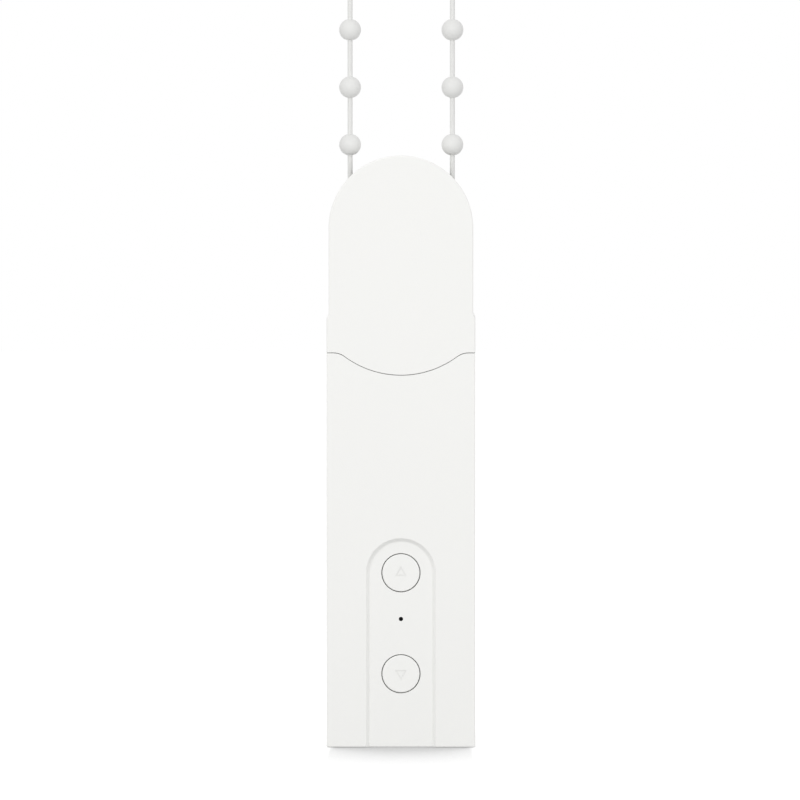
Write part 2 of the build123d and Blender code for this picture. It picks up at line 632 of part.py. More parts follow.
# Key switches on the board, and the plungers that the caps push
for name, z in (("up", UP_KEY_Z), ("down", DOWN_KEY_Z)):
    with BuildPart() as switch:
        with BuildSketch(at_depth(BOARD_FRONT)):
            with Locations((0, z)):
                RectangleRounded(SWITCH_SIDE, SWITCH_SIDE, 3 * GAP)
        extrude(amount=SWITCH_HEIGHT)
        with BuildSketch(at_depth(SWITCH_FRONT)):
            with Locations((0, z)):
                Circle(PLUNGER_RADIUS + SCREW_PLAY)
        extrude(amount=-(PLUNGER_INSERT + KEY_TRAVEL + 0.1), mode=Mode.SUBTRACT)
    switch.part.label = name + "_switch"
    export_step(switch.part, f"parts/{name}_switch.step")
    with BuildPart() as plunger:
        with BuildSketch(at_depth(SWITCH_FRONT - PLUNGER_INSERT)):
            with Locations((0, z)):
                Circle(PLUNGER_RADIUS)
        extrude(amount=KEY_FLANGE_BACK - SWITCH_FRONT + PLUNGER_INSERT)
    plunger.part.label = name + "_plunger"
    export_step(plunger.part, f"parts/{name}_plunger.step")

# Light pipe in the pinhole, and the light on the board behind it
with BuildPart() as light_pipe:
    with BuildSketch(at_depth(CHANNEL_INSIDE - PIPE_COLLAR_THICKNESS)):
        with Locations((0, PINHOLE_Z)):
            Circle(PIPE_COLLAR_RADIUS)
    extrude(amount=PIPE_COLLAR_THICKNESS)
    with BuildSketch(at_depth(BOARD_FRONT + LED_THICKNESS + GAP / 2)):
        with Locations((0, PINHOLE_Z)):
            Circle(2 * PINHOLE_RADIUS)
    extrude(until=Until.NEXT)
    with BuildSketch(at_depth(CHANNEL_INSIDE)):
        with Locations((0, PINHOLE_Z)):
            Circle(PINHOLE_RADIUS - 0.02)
    extrude(amount=CHANNEL_FLOOR - CHANNEL_INSIDE - PIPE_RECESS)
light_pipe.part.label = "light_pipe"
export_step(light_pipe.part, "parts/light_pipe.step")

with BuildPart() as status_led:
    with BuildSketch(at_depth(BOARD_FRONT)):
        with Locations((0, PINHOLE_Z)):
            Rectangle(LED_WIDTH, LED_HEIGHT)
    extrude(amount=LED_THICKNESS)
status_led.part.label = "status_led"
export_step(status_led.part, "parts/status_led.step")

# Control board, held on four posts of the front housing
with BuildPart() as control_board:
    with BuildSketch(at_depth(BOARD_BACK)):
        with Locations((0, (BOARD_Z + BOARD_TOP_Z) / 2)):
            RectangleRounded(2 * BOARD_HALF, BOARD_TOP_Z - BOARD_Z, BOARD_CORNER_RADIUS)
        with Locations(*BOARD_SCREW_PLACES):
            Circle(BOARD_SCREW_RADIUS + SCREW_PLAY, mode=Mode.SUBTRACT)
    extrude(amount=BOARD_THICKNESS)
control_board.part.label = "control_board"
export_step(control_board.part, "parts/control_board.step")

with BuildPart() as board_screws:
    with BuildSketch(at_depth(BOARD_BACK - BOARD_SCREW_HEAD_HEIGHT)):
        with Locations(*BOARD_SCREW_PLACES):
            Circle(BOARD_SCREW_HEAD)
    extrude(amount=BOARD_SCREW_HEAD_HEIGHT)
    with BuildSketch(at_depth(BOARD_BACK)):
        with Locations(*BOARD_SCREW_PLACES):
            Circle(BOARD_SCREW_RADIUS)
    extrude(amount=BOARD_SCREW_LENGTH)
board_screws.part.label = "board_screws"
export_step(board_screws.part, "parts/board_screws.step")

# Radio module: a small board under a metal can, at the top of the control board
radio_z = BOARD_TOP_Z - RADIO_EDGE_GAP - RADIO_SIDE / 2
with BuildPart() as radio_module:
    with BuildSketch(at_depth(BOARD_FRONT)):
        with Locations((0, radio_z)):
            Rectangle(RADIO_WIDTH, RADIO_SIDE)
    extrude(amount=BOARD_THICKNESS / 2)
    with BuildSketch(at_depth(BOARD_FRONT + BOARD_THICKNESS / 2)):
        with Locations((0, radio_z - RADIO_SIDE / 8)):
            RectangleRounded(RADIO_WIDTH * 0.86, RADIO_SIDE * 0.7, GAP)
    extrude(amount=RADIO_THICKNESS - BOARD_THICKNESS / 2)
radio_module.part.label = "radio_module"
export_step(radio_module.part, "parts/radio_module.step")

# Motor driver, charger chip and a coil, beside the pinhole
chip_x = BOARD_HALF * 0.6
with BuildPart() as board_chips:
    with BuildSketch(at_depth(BOARD_FRONT)):
        with Locations((-chip_x, PINHOLE_Z)):
            Rectangle(SWITCH_SIDE * 0.85, SWITCH_SIDE * 0.85)
        with Locations((chip_x, PINHOLE_Z + SWITCH_SIDE / 3)):
            Rectangle(SWITCH_SIDE * 0.6, SWITCH_SIDE * 0.5)
        with Locations((chip_x, PINHOLE_Z - SWITCH_SIDE / 3)):
            Rectangle(SWITCH_SIDE * 0.5, SWITCH_SIDE * 0.4)
    extrude(amount=CHIP_THICKNESS)
board_chips.part.label = "board_chips"
export_step(board_chips.part, "parts/board_chips.step")

# Charging socket at the board's lower end, facing down
socket_plane = Plane.XY.offset(FOOT + SOCKET_FOOT)
socket_y = -BOARD_FRONT - SOCKET_THICKNESS / 2
with BuildPart() as usb_socket:
    with BuildSketch(socket_plane):
        with Locations((0, socket_y)):
            SlotOverall(SOCKET_WIDTH, SOCKET_THICKNESS)
    extrude(amount=SOCKET_LENGTH)
    with BuildSketch(socket_plane):
        with Locations((0, socket_y)):
            SlotOverall(SOCKET_WIDTH - 2 * SOCKET_SHELL, SOCKET_THICKNESS - 2 * SOCKET_SHELL)
    extrude(amount=SOCKET_LENGTH - SOCKET_SHELL - 1, mode=Mode.SUBTRACT)
    with BuildSketch(socket_plane.offset(1)):
        with Locations((0, socket_y)):
            Rectangle(SOCKET_WIDTH - 8 * SOCKET_SHELL, SOCKET_TONGUE)
    extrude(amount=SOCKET_LENGTH - SOCKET_SHELL - 2)
usb_socket.part.label = "usb_socket"
export_step(usb_socket.part, "parts/usb_socket.step")

# Battery cell: a wrapped can with a crimped neck and a nub, on a foam pad
crimp_z = CELL_TOP_Z - CELL_NUB_HEIGHT - 3
with BuildPart() as battery_cell:
    with BuildSketch(Plane.XY.offset(CELL_Z)):
        with Locations((0, -CELL_DEPTH)):
            Circle(CELL_RADIUS)
    extrude(amount=CELL_LENGTH - CELL_NUB_HEIGHT)
    fillet(battery_cell.edges().filter_by(GeomType.CIRCLE), 2 * GAP)
    with BuildSketch(Plane.XY.offset(crimp_z)):
        with Locations((0, -CELL_DEPTH)):
            Circle(CELL_RADIUS)
            Circle(CELL_RADIUS - GAP, mode=Mode.SUBTRACT)
    extrude(amount=2 * GAP, mode=Mode.SUBTRACT)
    with BuildSketch(Plane.XY.offset(CELL_TOP_Z - CELL_NUB_HEIGHT)):
        with Locations((0, -CELL_DEPTH)):
            Circle(CELL_NUB_RADIUS)
    extrude(amount=CELL_NUB_HEIGHT)
battery_cell.part.label = "battery_cell"
export_step(battery_cell.part, "parts/battery_cell.step")

# Nickel tabs welded to the cell's two ends, reaching forward to the leads
tab_reach = CELL_RADIUS * 0.6
with BuildPart() as battery_tabs:
    for z in (CELL_TOP_Z, CELL_Z - TAB_THICKNESS):
        with BuildSketch(Plane.XY.offset(z)):
            with Locations((0, -CELL_DEPTH - tab_reach / 2)):
                Rectangle(TAB_WIDTH, tab_reach + TAB_WIDTH)
        extrude(amount=TAB_THICKNESS)
battery_tabs.part.label = "battery_tabs"
export_step(battery_tabs.part, "parts/battery_tabs.step")

with BuildPart() as battery_pad:
    with BuildSketch(Plane.XY.offset(FOOT + WALL)):
        with Locations((0, -CELL_DEPTH)):
            Rectangle(PAD_WIDTH, PAD_LENGTH)
    extrude(amount=CELL_FOOT - WALL - TAB_THICKNESS)
battery_pad.part.label = "battery_pad"
export_step(battery_pad.part, "parts/battery_pad.step")

# Short insulated wires, straight from the tabs to the back of the board
lead_depth = CELL_DEPTH + tab_reach
with BuildPart() as battery_leads:
    with BuildSketch(at_depth(lead_depth)):
        for z in (CELL_TOP_Z + TAB_THICKNESS + LEAD_RADIUS, CELL_Z - TAB_THICKNESS - LEAD_RADIUS):
            with Locations((0, z)):
                Circle(LEAD_RADIUS)
    extrude(amount=BOARD_BACK - lead_depth)
battery_leads.part.label = "battery_leads"
export_step(battery_leads.part, "parts/battery_leads.step")

# Motor: a round steel can, a moulded end cap and two terminal blades below it
motor_axis = (MOTOR_X, -MOTOR_DEPTH)
with BuildPart() as motor_can:
    with BuildSketch(Plane.XY.offset(MOTOR_CAN_Z)):
        with Locations(motor_axis):
            Circle(MOTOR_RADIUS)
    extrude(amount=MOTOR_CAN_LENGTH)
    fillet(motor_can.edges().group_by(Axis.Z)[-1], 2 * GAP)
    with BuildSketch(Plane.XY.offset(MOTOR_TOP_Z)):
        with Locations(motor_axis):
            Circle(MOTOR_BOSS_RADIUS)
    extrude(amount=MOTOR_BOSS_LENGTH)
    with BuildSketch(Plane.XY.offset(MOTOR_TOP_Z + MOTOR_BOSS_LENGTH)):
        with Locations(motor_axis):
            Circle(MOTOR_SHAFT_RADIUS + SHAFT_PLAY)
    extrude(amount=-(MOTOR_SHAFT_HOLD + MOTOR_BOSS_LENGTH + GAP), mode=Mode.SUBTRACT)
    with BuildSketch(Plane.XY.offset(MOTOR_TOP_Z)):
        with Locations((MOTOR_X - MOTOR_SCREW_X, -MOTOR_DEPTH), (MOTOR_X + MOTOR_SCREW_X, -MOTOR_DEPTH)):
            Circle(MOTOR_SCREW_RADIUS + SCREW_PLAY)
    extrude(amount=-(MOTOR_SCREW_BITE + GAP), mode=Mode.SUBTRACT)
motor_can.part.label = "motor_can"
export_step(motor_can.part, "parts/motor_can.step")

with BuildPart() as motor_end_cap:
    with BuildSketch(Plane.XY.offset(MOTOR_Z)):
        with Locations(motor_axis):
            Circle(MOTOR_RADIUS - GAP)
    extrude(amount=MOTOR_CAP_LENGTH)
    fillet(motor_end_cap.edges().group_by(Axis.Z)[0], GAP)
motor_end_cap.part.label = "motor_end_cap"
export_step(motor_end_cap.part, "parts/motor_end_cap.step")

terminal_xs = (MOTOR_X - TERMINAL_SPREAD, MOTOR_X + TERMINAL_SPREAD)
with BuildPart() as motor_terminals:
    with BuildSketch(Plane.XY.offset(MOTOR_Z)):
        with Locations(*[(x, -MOTOR_DEPTH) for x in terminal_xs]):
            Rectangle(TERMINAL_WIDTH, TERMINAL_THICKNESS)
    extrude(amount=-TERMINAL_LENGTH)
motor_terminals.part.label = "motor_terminals"
export_step(motor_terminals.part, "parts/motor_terminals.step")

# Two wires, from the blades forward to the board's upper edge
lead_from = -MOTOR_DEPTH - TERMINAL_THICKNESS / 2
lead_run = (lead_from + BOARD_BACK) / 3
high_z, low_z = MOTOR_Z - TERMINAL_LENGTH / 2, BOARD_TOP_Z - 2 * LEAD_RADIUS
with BuildPart() as motor_leads:
    for x in terminal_xs:
        with BuildLine() as lead_route:
            FilletPolyline(
                (x, lead_from, high_z),
                (x, lead_from - lead_run, high_z),
                (x, lead_from - 2 * lead_run, low_z),
                (x, -BOARD_BACK, low_z),
                radius=8 * LEAD_RADIUS,
            )
        with BuildSketch(Plane(origin=lead_route.line @ 0, z_dir=(0, -1, 0))):
            Circle(LEAD_RADIUS)
        sweep(path=lead_route.line)
motor_leads.part.label = "motor_leads"
export_step(motor_leads.part, "parts/motor_leads.step")

# Motor shaft with the worm pressed onto it
with BuildPart() as motor_shaft:
    with BuildSketch(Plane.XY.offset(MOTOR_TOP_Z - MOTOR_SHAFT_HOLD)):
        with Locations(motor_axis):
            Circle(MOTOR_SHAFT_RADIUS)
    extrude(amount=REDUCTION_Z + WORM_LENGTH / 2 + 1 - MOTOR_TOP_Z + MOTOR_SHAFT_HOLD)
motor_shaft.part.label = "motor_shaft"
export_step(motor_shaft.part, "parts/motor_shaft.step")

worm_lead = pi * MODULE
worm_root = WORM_PITCH_RADIUS - DEDENDUM * MODULE
thread_base = worm_root - 0.1
thread_turns = 2 * int(WORM_LENGTH / worm_lead / 2 + 1) + 1
half_thread = worm_lead / 4 - WORM_BACKLASH / 2
with BuildPart() as worm:
    thread_centre = (MOTOR_X, -MOTOR_DEPTH, REDUCTION_Z - thread_turns * worm_lead / 2)
    with BuildLine() as thread_path:
        Helix(worm_lead, thread_turns * worm_lead, thread_base, center=thread_centre)
    with BuildSketch(Plane(origin=thread_path.line @ 0, x_dir=(1, 0, 0), z_dir=(0, 1, 0))):
        with BuildLine():
            rise = WORM_TIP_RADIUS - thread_base
            base_half = half_thread + (WORM_PITCH_RADIUS - thread_base) * tan(PRESSURE)
            tip_half = half_thread - ADDENDUM * MODULE * tan(PRESSURE)
            Polyline((0, -base_half), (rise, -tip_half), (rise, tip_half), (0, base_half), close=True)
        make_face()
    sweep(path=thread_path.line, is_frenet=True)
    with BuildSketch(Plane.XY.offset(REDUCTION_Z - WORM_LENGTH / 2)):
        with Locations(motor_axis):
            Circle(WORM_TIP_RADIUS + 1)
    extrude(amount=WORM_LENGTH, mode=Mode.INTERSECT)
    with BuildSketch(Plane.XY.offset(REDUCTION_Z - WORM_LENGTH / 2)):
        with Locations(motor_axis):
            Circle(worm_root)
    extrude(amount=WORM_LENGTH)
    with BuildSketch(Plane.XY.offset(REDUCTION_Z - WORM_LENGTH / 2)):
        with Locations(motor_axis):
            Circle(MOTOR_SHAFT_RADIUS)
    extrude(amount=WORM_LENGTH, mode=Mode.SUBTRACT)
worm.part.label = "worm"
export_step(worm.part, "parts/worm.step")

# Reduction gear: worm wheel and pinion moulded as one, free on a fixed pin
line_angle = degrees(atan2(-REDUCTION_DROP, REDUCTION_X))
with BuildPart() as reduction_gear:
    with BuildSketch(at_depth(WORM_WHEEL_BACK)):
        with Locations((REDUCTION_X, REDUCTION_Z)):
            add(gear_outline(WORM_WHEEL_TEETH, 180, 0))
    extrude(amount=WORM_WHEEL_WIDTH)
    with BuildSketch(at_depth(PINION_BACK)):
        with Locations((REDUCTION_X, REDUCTION_Z)):
            add(gear_outline(PINION_TEETH, line_angle + 180 + 180 / PINION_TEETH, BACKLASH))
    extrude(amount=WORM_WHEEL_BACK - PINION_BACK)
    with BuildSketch(at_depth(PINION_BACK)):
        with Locations((REDUCTION_X, REDUCTION_Z)):
            Circle(REDUCTION_AXLE_RADIUS + SHAFT_PLAY)
    extrude(amount=WORM_WHEEL_FRONT - PINION_BACK, mode=Mode.SUBTRACT)
reduction_gear.part.label = "reduction_gear"
export_step(reduction_gear.part, "parts/reduction_gear.step")

with BuildPart() as reduction_axle:
    with BuildSketch(at_depth(FRAME_BACK + GAP)):
        with Locations((REDUCTION_X, REDUCTION_Z)):
            Circle(REDUCTION_AXLE_RADIUS)
    extrude(amount=CARRIER_FRONT - FRAME_BACK - 2 * GAP)
reduction_axle.part.label = "reduction_axle"
export_step(reduction_axle.part, "parts/reduction_axle.step")

# Output gear, pressed on the drive axle
with BuildPart() as output_gear:
    with BuildSketch(at_depth(OUTPUT_BACK)):
        with Locations((0, WHEEL_Z)):
            add(gear_outline(OUTPUT_TEETH, line_angle, BACKLASH))
            Circle(DRIVE_AXLE_RADIUS, mode=Mode.SUBTRACT)
        with Locations((0, WHEEL_Z)):
            with PolarLocations(OUTPUT_RADIUS * 0.6, WHEEL_HOLES):
                Circle(WHEEL_HOLE_RADIUS, mode=Mode.SUBTRACT)
    extrude(amount=OUTPUT_WIDTH)
output_gear.part.label = "output_gear"
export_step(output_gear.part, "parts/output_gear.step")

# Drive axle: round in its two bushes, flattened on one side for the chain wheel
axle_front = WHEEL_FRONT + 2 * CLIP_RING_THICKNESS + GAP
with BuildPart() as drive_axle:
    with BuildSketch(at_depth(FRAME_BACK)):
        with Locations((0, WHEEL_Z)):
            Circle(DRIVE_AXLE_RADIUS)
    extrude(amount=axle_front - FRAME_BACK)
    with BuildSketch(at_depth(WHEEL_BACK)):
        with Locations((0, WHEEL_Z + AXLE_FLAT)):
            Rectangle(2 * DRIVE_AXLE_RADIUS, DRIVE_AXLE_RADIUS, align=(Align.CENTER, Align.MIN))
    extrude(amount=axle_front, mode=Mode.SUBTRACT)
    with BuildSketch(at_depth(WHEEL_FRONT + GAP / 2)):
        with Locations((0, WHEEL_Z)):
            Circle(DRIVE_AXLE_RADIUS)
            Circle(DRIVE_AXLE_RADIUS - AXLE_NECK, mode=Mode.SUBTRACT)
    extrude(amount=CLIP_RING_THICKNESS + 0.1, mode=Mode.SUBTRACT)
drive_axle.part.label = "drive_axle"
export_step(drive_axle.part, "parts/drive_axle.step")


def flanged_bush(flange_depth, body_to):
    """A bush with its flange at one depth and its body reaching to another."""
    with BuildPart() as bush:
        with BuildSketch(at_depth(flange_depth)):
            with Locations((0, WHEEL_Z)):
                Circle(BUSH_FLANGE_RADIUS)
        extrude(amount=BUSH_FLANGE)
        with BuildSketch(at_depth(min(flange_depth, body_to))):
            with Locations((0, WHEEL_Z)):
                Circle(BUSH_RADIUS)
        extrude(amount=abs(flange_depth - body_to))
        with BuildSketch(at_depth(min(flange_depth, body_to))):
            with Locations((0, WHEEL_Z)):
                Circle(DRIVE_AXLE_RADIUS + SHAFT_PLAY)
        extrude(amount=FRONT, mode=Mode.SUBTRACT)
    return bush


rear_bush = flanged_bush(FRAME_FRONT, FRAME_BACK)
rear_bush.part.label = "rear_bush"
export_step(rear_bush.part, "parts/rear_bush.step")
front_bush = flanged_bush(CARRIER_FRONT, CARRIER_FRONT - FRONT_BUSH_LENGTH)
front_bush.part.label = "front_bush"
export_step(front_bush.part, "parts/front_bush.step")

# Gear frame: back plate, motor shelf and three pillars in one moulding
with BuildPart() as gear_frame:
    with BuildSketch(at_depth(FRAME_BACK)):
        add(case_outline(WALL + GAP))
        add(above(SHELF_Z), mode=Mode.INTERSECT)
        with Locations((0, WHEEL_Z)):
            Circle(BUSH_RADIUS, mode=Mode.SUBTRACT)
    extrude(amount=FRAME_THICKNESS)
    with BuildSketch(Plane.XY.offset(SHELF_Z)):
        with Locations((0, -(FRAME_BACK + SPLIT) / 2)):
            Rectangle(2 * INSIDE_CLIPS_HALF, SPLIT - FRAME_BACK)
        with Locations(motor_axis):
            Circle(MOTOR_BOSS_RADIUS + GAP / 3, mode=Mode.SUBTRACT)
        with Locations((MOTOR_X - MOTOR_SCREW_X, -MOTOR_DEPTH), (MOTOR_X + MOTOR_SCREW_X, -MOTOR_DEPTH)):
            Circle(MOTOR_SCREW_RADIUS + SCREW_PLAY, mode=Mode.SUBTRACT)
    extrude(amount=SHELF_THICKNESS)
    with BuildSketch(at_depth(FRAME_BACK)):
        with Locations(*GEAR_SCREW_PLACES):
            Circle(PILLAR_RADIUS)
    extrude(amount=SPLIT - FRAME_BACK)
    with BuildSketch(at_depth(FRAME_BACK)):
        with Locations(*GEAR_SCREW_PLACES):
            Circle(GEAR_SCREW_RADIUS + SCREW_PLAY)
        with Locations((REDUCTION_X, REDUCTION_Z)):
            Circle(REDUCTION_AXLE_RADIUS)
    extrude(amount=SPLIT, mode=Mode.SUBTRACT)
gear_frame.part.label = "gear_frame"
export_step(gear_frame.part, "parts/gear_frame.step")

# Carrier plate: closes the gear room and carries the front bush and the chain guide
guide_inner = CHAIN_REACH + GAP
with BuildPart() as carrier_plate:
    with BuildSketch(at_depth(SPLIT)):
        add(case_outline(WALL + GAP))
        add(above(CARRIER_Z), mode=Mode.INTERSECT)
    extrude(amount=PLATE_THICKNESS)
    with BuildSketch(at_depth(CARRIER_FRONT - FRONT_BUSH_LENGTH)):
        with Locations((0, WHEEL_Z)):
            Circle(CARRIER_BOSS_RADIUS)
    extrude(amount=FRONT_BUSH_LENGTH - PLATE_THICKNESS)
    with BuildSketch(at_depth(CARRIER_FRONT)):
        with BuildLine():
            start, sweep_angle = 270 - GUIDE_HALF_ANGLE, 2 * GUIDE_HALF_ANGLE
            inner_arc = CenterArc((0, WHEEL_Z), guide_inner, start, sweep_angle)
            outer_arc = CenterArc((0, WHEEL_Z), guide_inner + GUIDE_THICKNESS, start, sweep_angle)
            Line(inner_arc @ 0, outer_arc @ 0)
            Line(inner_arc @ 1, outer_arc @ 1)
        make_face()
    extrude(amount=GUIDE_HEIGHT)
    with BuildSketch(at_depth(CARRIER_FRONT - FRONT_BUSH_LENGTH)):
        with Locations((0, WHEEL_Z)):
            Circle(BUSH_RADIUS)
        with Locations(*GEAR_SCREW_PLACES):
            Circle(GEAR_SCREW_RADIUS + SCREW_PLAY)
        with Locations((REDUCTION_X, REDUCTION_Z)):
            Circle(REDUCTION_AXLE_RADIUS)
    extrude(amount=FRONT_BUSH_LENGTH, mode=Mode.SUBTRACT)
carrier_plate.part.label = "carrier_plate"
export_step(carrier_plate.part, "parts/carrier_plate.step")

# Three long screws through the carrier plate and the pillars into the rear housing
with BuildPart() as gear_screws:
    with BuildSketch(at_depth(BACK_INSIDE - WALL / 4)):
        with Locations(*GEAR_SCREW_PLACES):
            Circle(GEAR_SCREW_RADIUS)
    extrude(amount=CARRIER_FRONT - BACK_INSIDE + WALL / 4)
    with BuildSketch(at_depth(CARRIER_FRONT)):
        with Locations(*GEAR_SCREW_PLACES):
            Circle(GEAR_SCREW_HEAD)
    extrude(amount=GEAR_SCREW_HEAD_HEIGHT)
gear_screws.part.label = "gear_screws"
export_step(gear_screws.part, "parts/gear_screws.step")

with BuildPart() as motor_screws:
    with BuildSketch(Plane.XY.offset(MOTOR_TOP_Z - MOTOR_SCREW_BITE)):
        with Locations((MOTOR_X - MOTOR_SCREW_X, -MOTOR_DEPTH), (MOTOR_X + MOTOR_SCREW_X, -MOTOR_DEPTH)):
            Circle(MOTOR_SCREW_RADIUS)
    extrude(amount=SHELF_TOP_Z - MOTOR_TOP_Z + MOTOR_SCREW_BITE)
    with BuildSketch(Plane.XY.offset(SHELF_TOP_Z)):
        with Locations((MOTOR_X - MOTOR_SCREW_X, -MOTOR_DEPTH), (MOTOR_X + MOTOR_SCREW_X, -MOTOR_DEPTH)):
            Circle(MOTOR_SCREW_HEAD)
    extrude(amount=MOTOR_SCREW_HEAD_HEIGHT)
motor_screws.part.label = "motor_screws"
export_step(motor_screws.part, "parts/motor_screws.step")

# Case screws, put in from the back
with BuildPart() as housing_screws:
    with BuildSketch(at_depth(BACK + GAP)):
        with Locations(*CASE_SCREW_PLACES):
            Circle(CASE_SCREW_HEAD)
    extrude(amount=CASE_SCREW_HEAD_HEIGHT)
    with BuildSketch(at_depth(BACK + GAP + CASE_SCREW_HEAD_HEIGHT)):
        with Locations(*CASE_SCREW_PLACES):
            Circle(CASE_SCREW_RADIUS)
    extrude(amount=SPLIT + CASE_SCREW_BITE - BACK - GAP - CASE_SCREW_HEAD_HEIGHT)
housing_screws.part.label = "housing_screws"
export_step(housing_screws.part, "parts/housing_screws.step")

# Chain wheel: pockets for the beads and a groove for the cord between them
with BuildPart() as chain_wheel:
    with BuildSketch(at_depth(WHEEL_BACK)):
        with Locations((0, WHEEL_Z)):
            Circle(RIM_RADIUS)
            Circle(DRIVE_AXLE_RADIUS, mode=Mode.SUBTRACT)
        with Locations((0, WHEEL_Z + AXLE_FLAT)):
            Rectangle(2 * DRIVE_AXLE_RADIUS, DRIVE_AXLE_RADIUS, align=(Align.CENTER, Align.MIN))
        with Locations((0, WHEEL_Z)):
            with PolarLocations(RIM_RADIUS * 0.52, WHEEL_HOLES, start_angle=90):
                Circle(WHEEL_HOLE_RADIUS, mode=Mode.SUBTRACT)
    extrude(amount=CHAIN_WHEEL_WIDTH)
    chamfer(chain_wheel.edges().filter_by(GeomType.CIRCLE).group_by(SortBy.RADIUS)[-1], GAP)
    groove_radius = PITCH_RADIUS - CHAIN_CORD_RADIUS - CORD_GROOVE_PLAY
    groove_half = CHAIN_CORD_RADIUS + CORD_GROOVE_PLAY
    with BuildSketch(at_depth(CHAIN_DEPTH - groove_half)):
        with Locations((0, WHEEL_Z)):
            Circle(RIM_RADIUS + 1)
            Circle(groove_radius, mode=Mode.SUBTRACT)
    extrude(amount=2 * groove_half, mode=Mode.SUBTRACT)
    with Locations(at_depth(CHAIN_DEPTH).shift_origin((0, -CHAIN_DEPTH, WHEEL_Z))):
        with PolarLocations(PITCH_RADIUS, POCKETS, start_angle=-90):
            Sphere(POCKET_RADIUS, mode=Mode.SUBTRACT)
chain_wheel.part.label = "chain_wheel"
export_step(chain_wheel.part, "parts/chain_wheel.step")

with BuildPart() as axle_clip:
    with BuildSketch(at_depth(WHEEL_FRONT + GAP / 2)):
        with Locations((0, WHEEL_Z)):
            Circle(CLIP_RING_RADIUS)
            Circle(DRIVE_AXLE_RADIUS - AXLE_NECK, mode=Mode.SUBTRACT)
        with Locations((0, WHEEL_Z)):
            Rectangle(
                2 * (DRIVE_AXLE_RADIUS - AXLE_NECK) - GAP,
                CLIP_RING_RADIUS + GAP,
                align=(Align.CENTER, Align.MAX),
                mode=Mode.SUBTRACT,
            )
    extrude(amount=CLIP_RING_THICKNESS)
axle_clip.part.label = "axle_clip"
export_step(axle_clip.part, "parts/axle_clip.step")

# Bead chain. The cord runs straight down into the head, round the wheel and out again,
# and its loop closes above, where the blind's own pulley would carry it.
chain_plane = at_depth(CHAIN_DEPTH)
with BuildPart() as chain_inside:
    with BuildLine(chain_plane) as inner_route:
        Line((-PITCH_RADIUS, PORT_Z), (-PITCH_RADIUS, WHEEL_Z))
        ThreePointArc((-PITCH_RADIUS, WHEEL_Z), (0, WHEEL_Z - PITCH_RADIUS), (PITCH_RADIUS, WHEEL_Z))
        Line((PITCH_RADIUS, WHEEL_Z), (PITCH_RADIUS, PORT_Z))
    with BuildSketch(Plane(origin=inner_route.line @ 0, z_dir=(0, 0, -1))):
        Circle(CHAIN_CORD_RADIUS)
    sweep(path=inner_route.line)
chain_inside.part.label = "chain_inside"
export_step(chain_inside.part, "parts/chain_inside.step")

with BuildPart() as chain_outside:
    with BuildLine(chain_plane) as outer_route:
        Line((-PITCH_RADIUS, PORT_Z), (-PITCH_RADIUS, LOOP_Z))
        ThreePointArc((-PITCH_RADIUS, LOOP_Z), (0, LOOP_Z + PITCH_RADIUS), (PITCH_RADIUS, LOOP_Z))
        Line((PITCH_RADIUS, LOOP_Z), (PITCH_RADIUS, PORT_Z))
    with BuildSketch(Plane(origin=outer_route.line @ 0, z_dir=(0, 0, 1))):
        Circle(CHAIN_CORD_RADIUS)
    sweep(path=outer_route.line)
chain_outside.part.label = "chain_outside"
export_step(chain_outside.part, "parts/chain_outside.step")

bead_turn = 2 * 360 / POCKETS
with BuildPart() as beads_inside:
    for turn in (-90 - bead_turn, -90, -90 + bead_turn):
        x, z = PITCH_RADIUS * cos(radians(turn)), WHEEL_Z + PITCH_RADIUS * sin(radians(turn))
        chain_bead((x, -CHAIN_DEPTH, z))
    for side in (-1, 1):
        chain_bead((side * PITCH_RADIUS, -CHAIN_DEPTH, WHEEL_Z + FIRST_BEAD_RISE))
beads_inside.part.label = "beads_inside"
export_step(beads_inside.part, "parts/beads_inside.step")

with BuildPart() as beads_outside:
    for side in (-1, 1):
        for step in range(1, BEADS_UP_EACH_SIDE):
            rise = FIRST_BEAD_RISE + step * CHAIN_PITCH
            chain_bead((side * PITCH_RADIUS, -CHAIN_DEPTH, WHEEL_Z + rise))
        turn = radians(TOP_BEAD_ANGLE)
        chain_bead((side * PITCH_RADIUS * cos(turn), -CHAIN_DEPTH, LOOP_Z + PITCH_RADIUS * sin(turn)))
beads_outside.part.label = "beads_outside"
export_step(beads_outside.part, "parts/beads_outside.step")

# Sizes that others quote, and the chain's bends and volume as a check on its tube
cord_section = pi * CHAIN_CORD_RADIUS**2
print(f"case {2 * BODY_HALF:.2f} wide, {FRONT - BACK:.2f} deep, {UNIT_HEIGHT:.2f} high")
print(f"head {2 * HEAD_HALF:.2f} wide, its centre at {HEAD_Z:.2f}, seam sides at {SEAM_Z:.2f}")
print(f"front {FRONT:.2f}, split {SPLIT:.2f}, chain {CHAIN_DEPTH:.2f} in front of the wall")
print(f"bottom edge at {FOOT:.2f}, wheel centre at {WHEEL_Z:.3f}")
print(f"reduction gear at x {REDUCTION_X:.3f}, z {REDUCTION_Z:.3f}")
print(f"motor at x {MOTOR_X:.3f}, depth {MOTOR_DEPTH:.3f}")
print(f"chain bends {PITCH_RADIUS:.3f} radius, port at {PORT_Z:.3f}, loop centre at {LOOP_Z:.3f}")
for where, tube, route in (
    ("inside", chain_inside, inner_route),
    ("outside", chain_outside, outer_route),
):
    length = route.wire().length
    print(f"chain {where}: {length:.2f} long, volume ratio {tube.part.volume / cord_section / length:.4f}")
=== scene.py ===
from math import cos, exp, pi, radians, sin

import bmesh
import bpy
from mathutils import Matrix, Vector


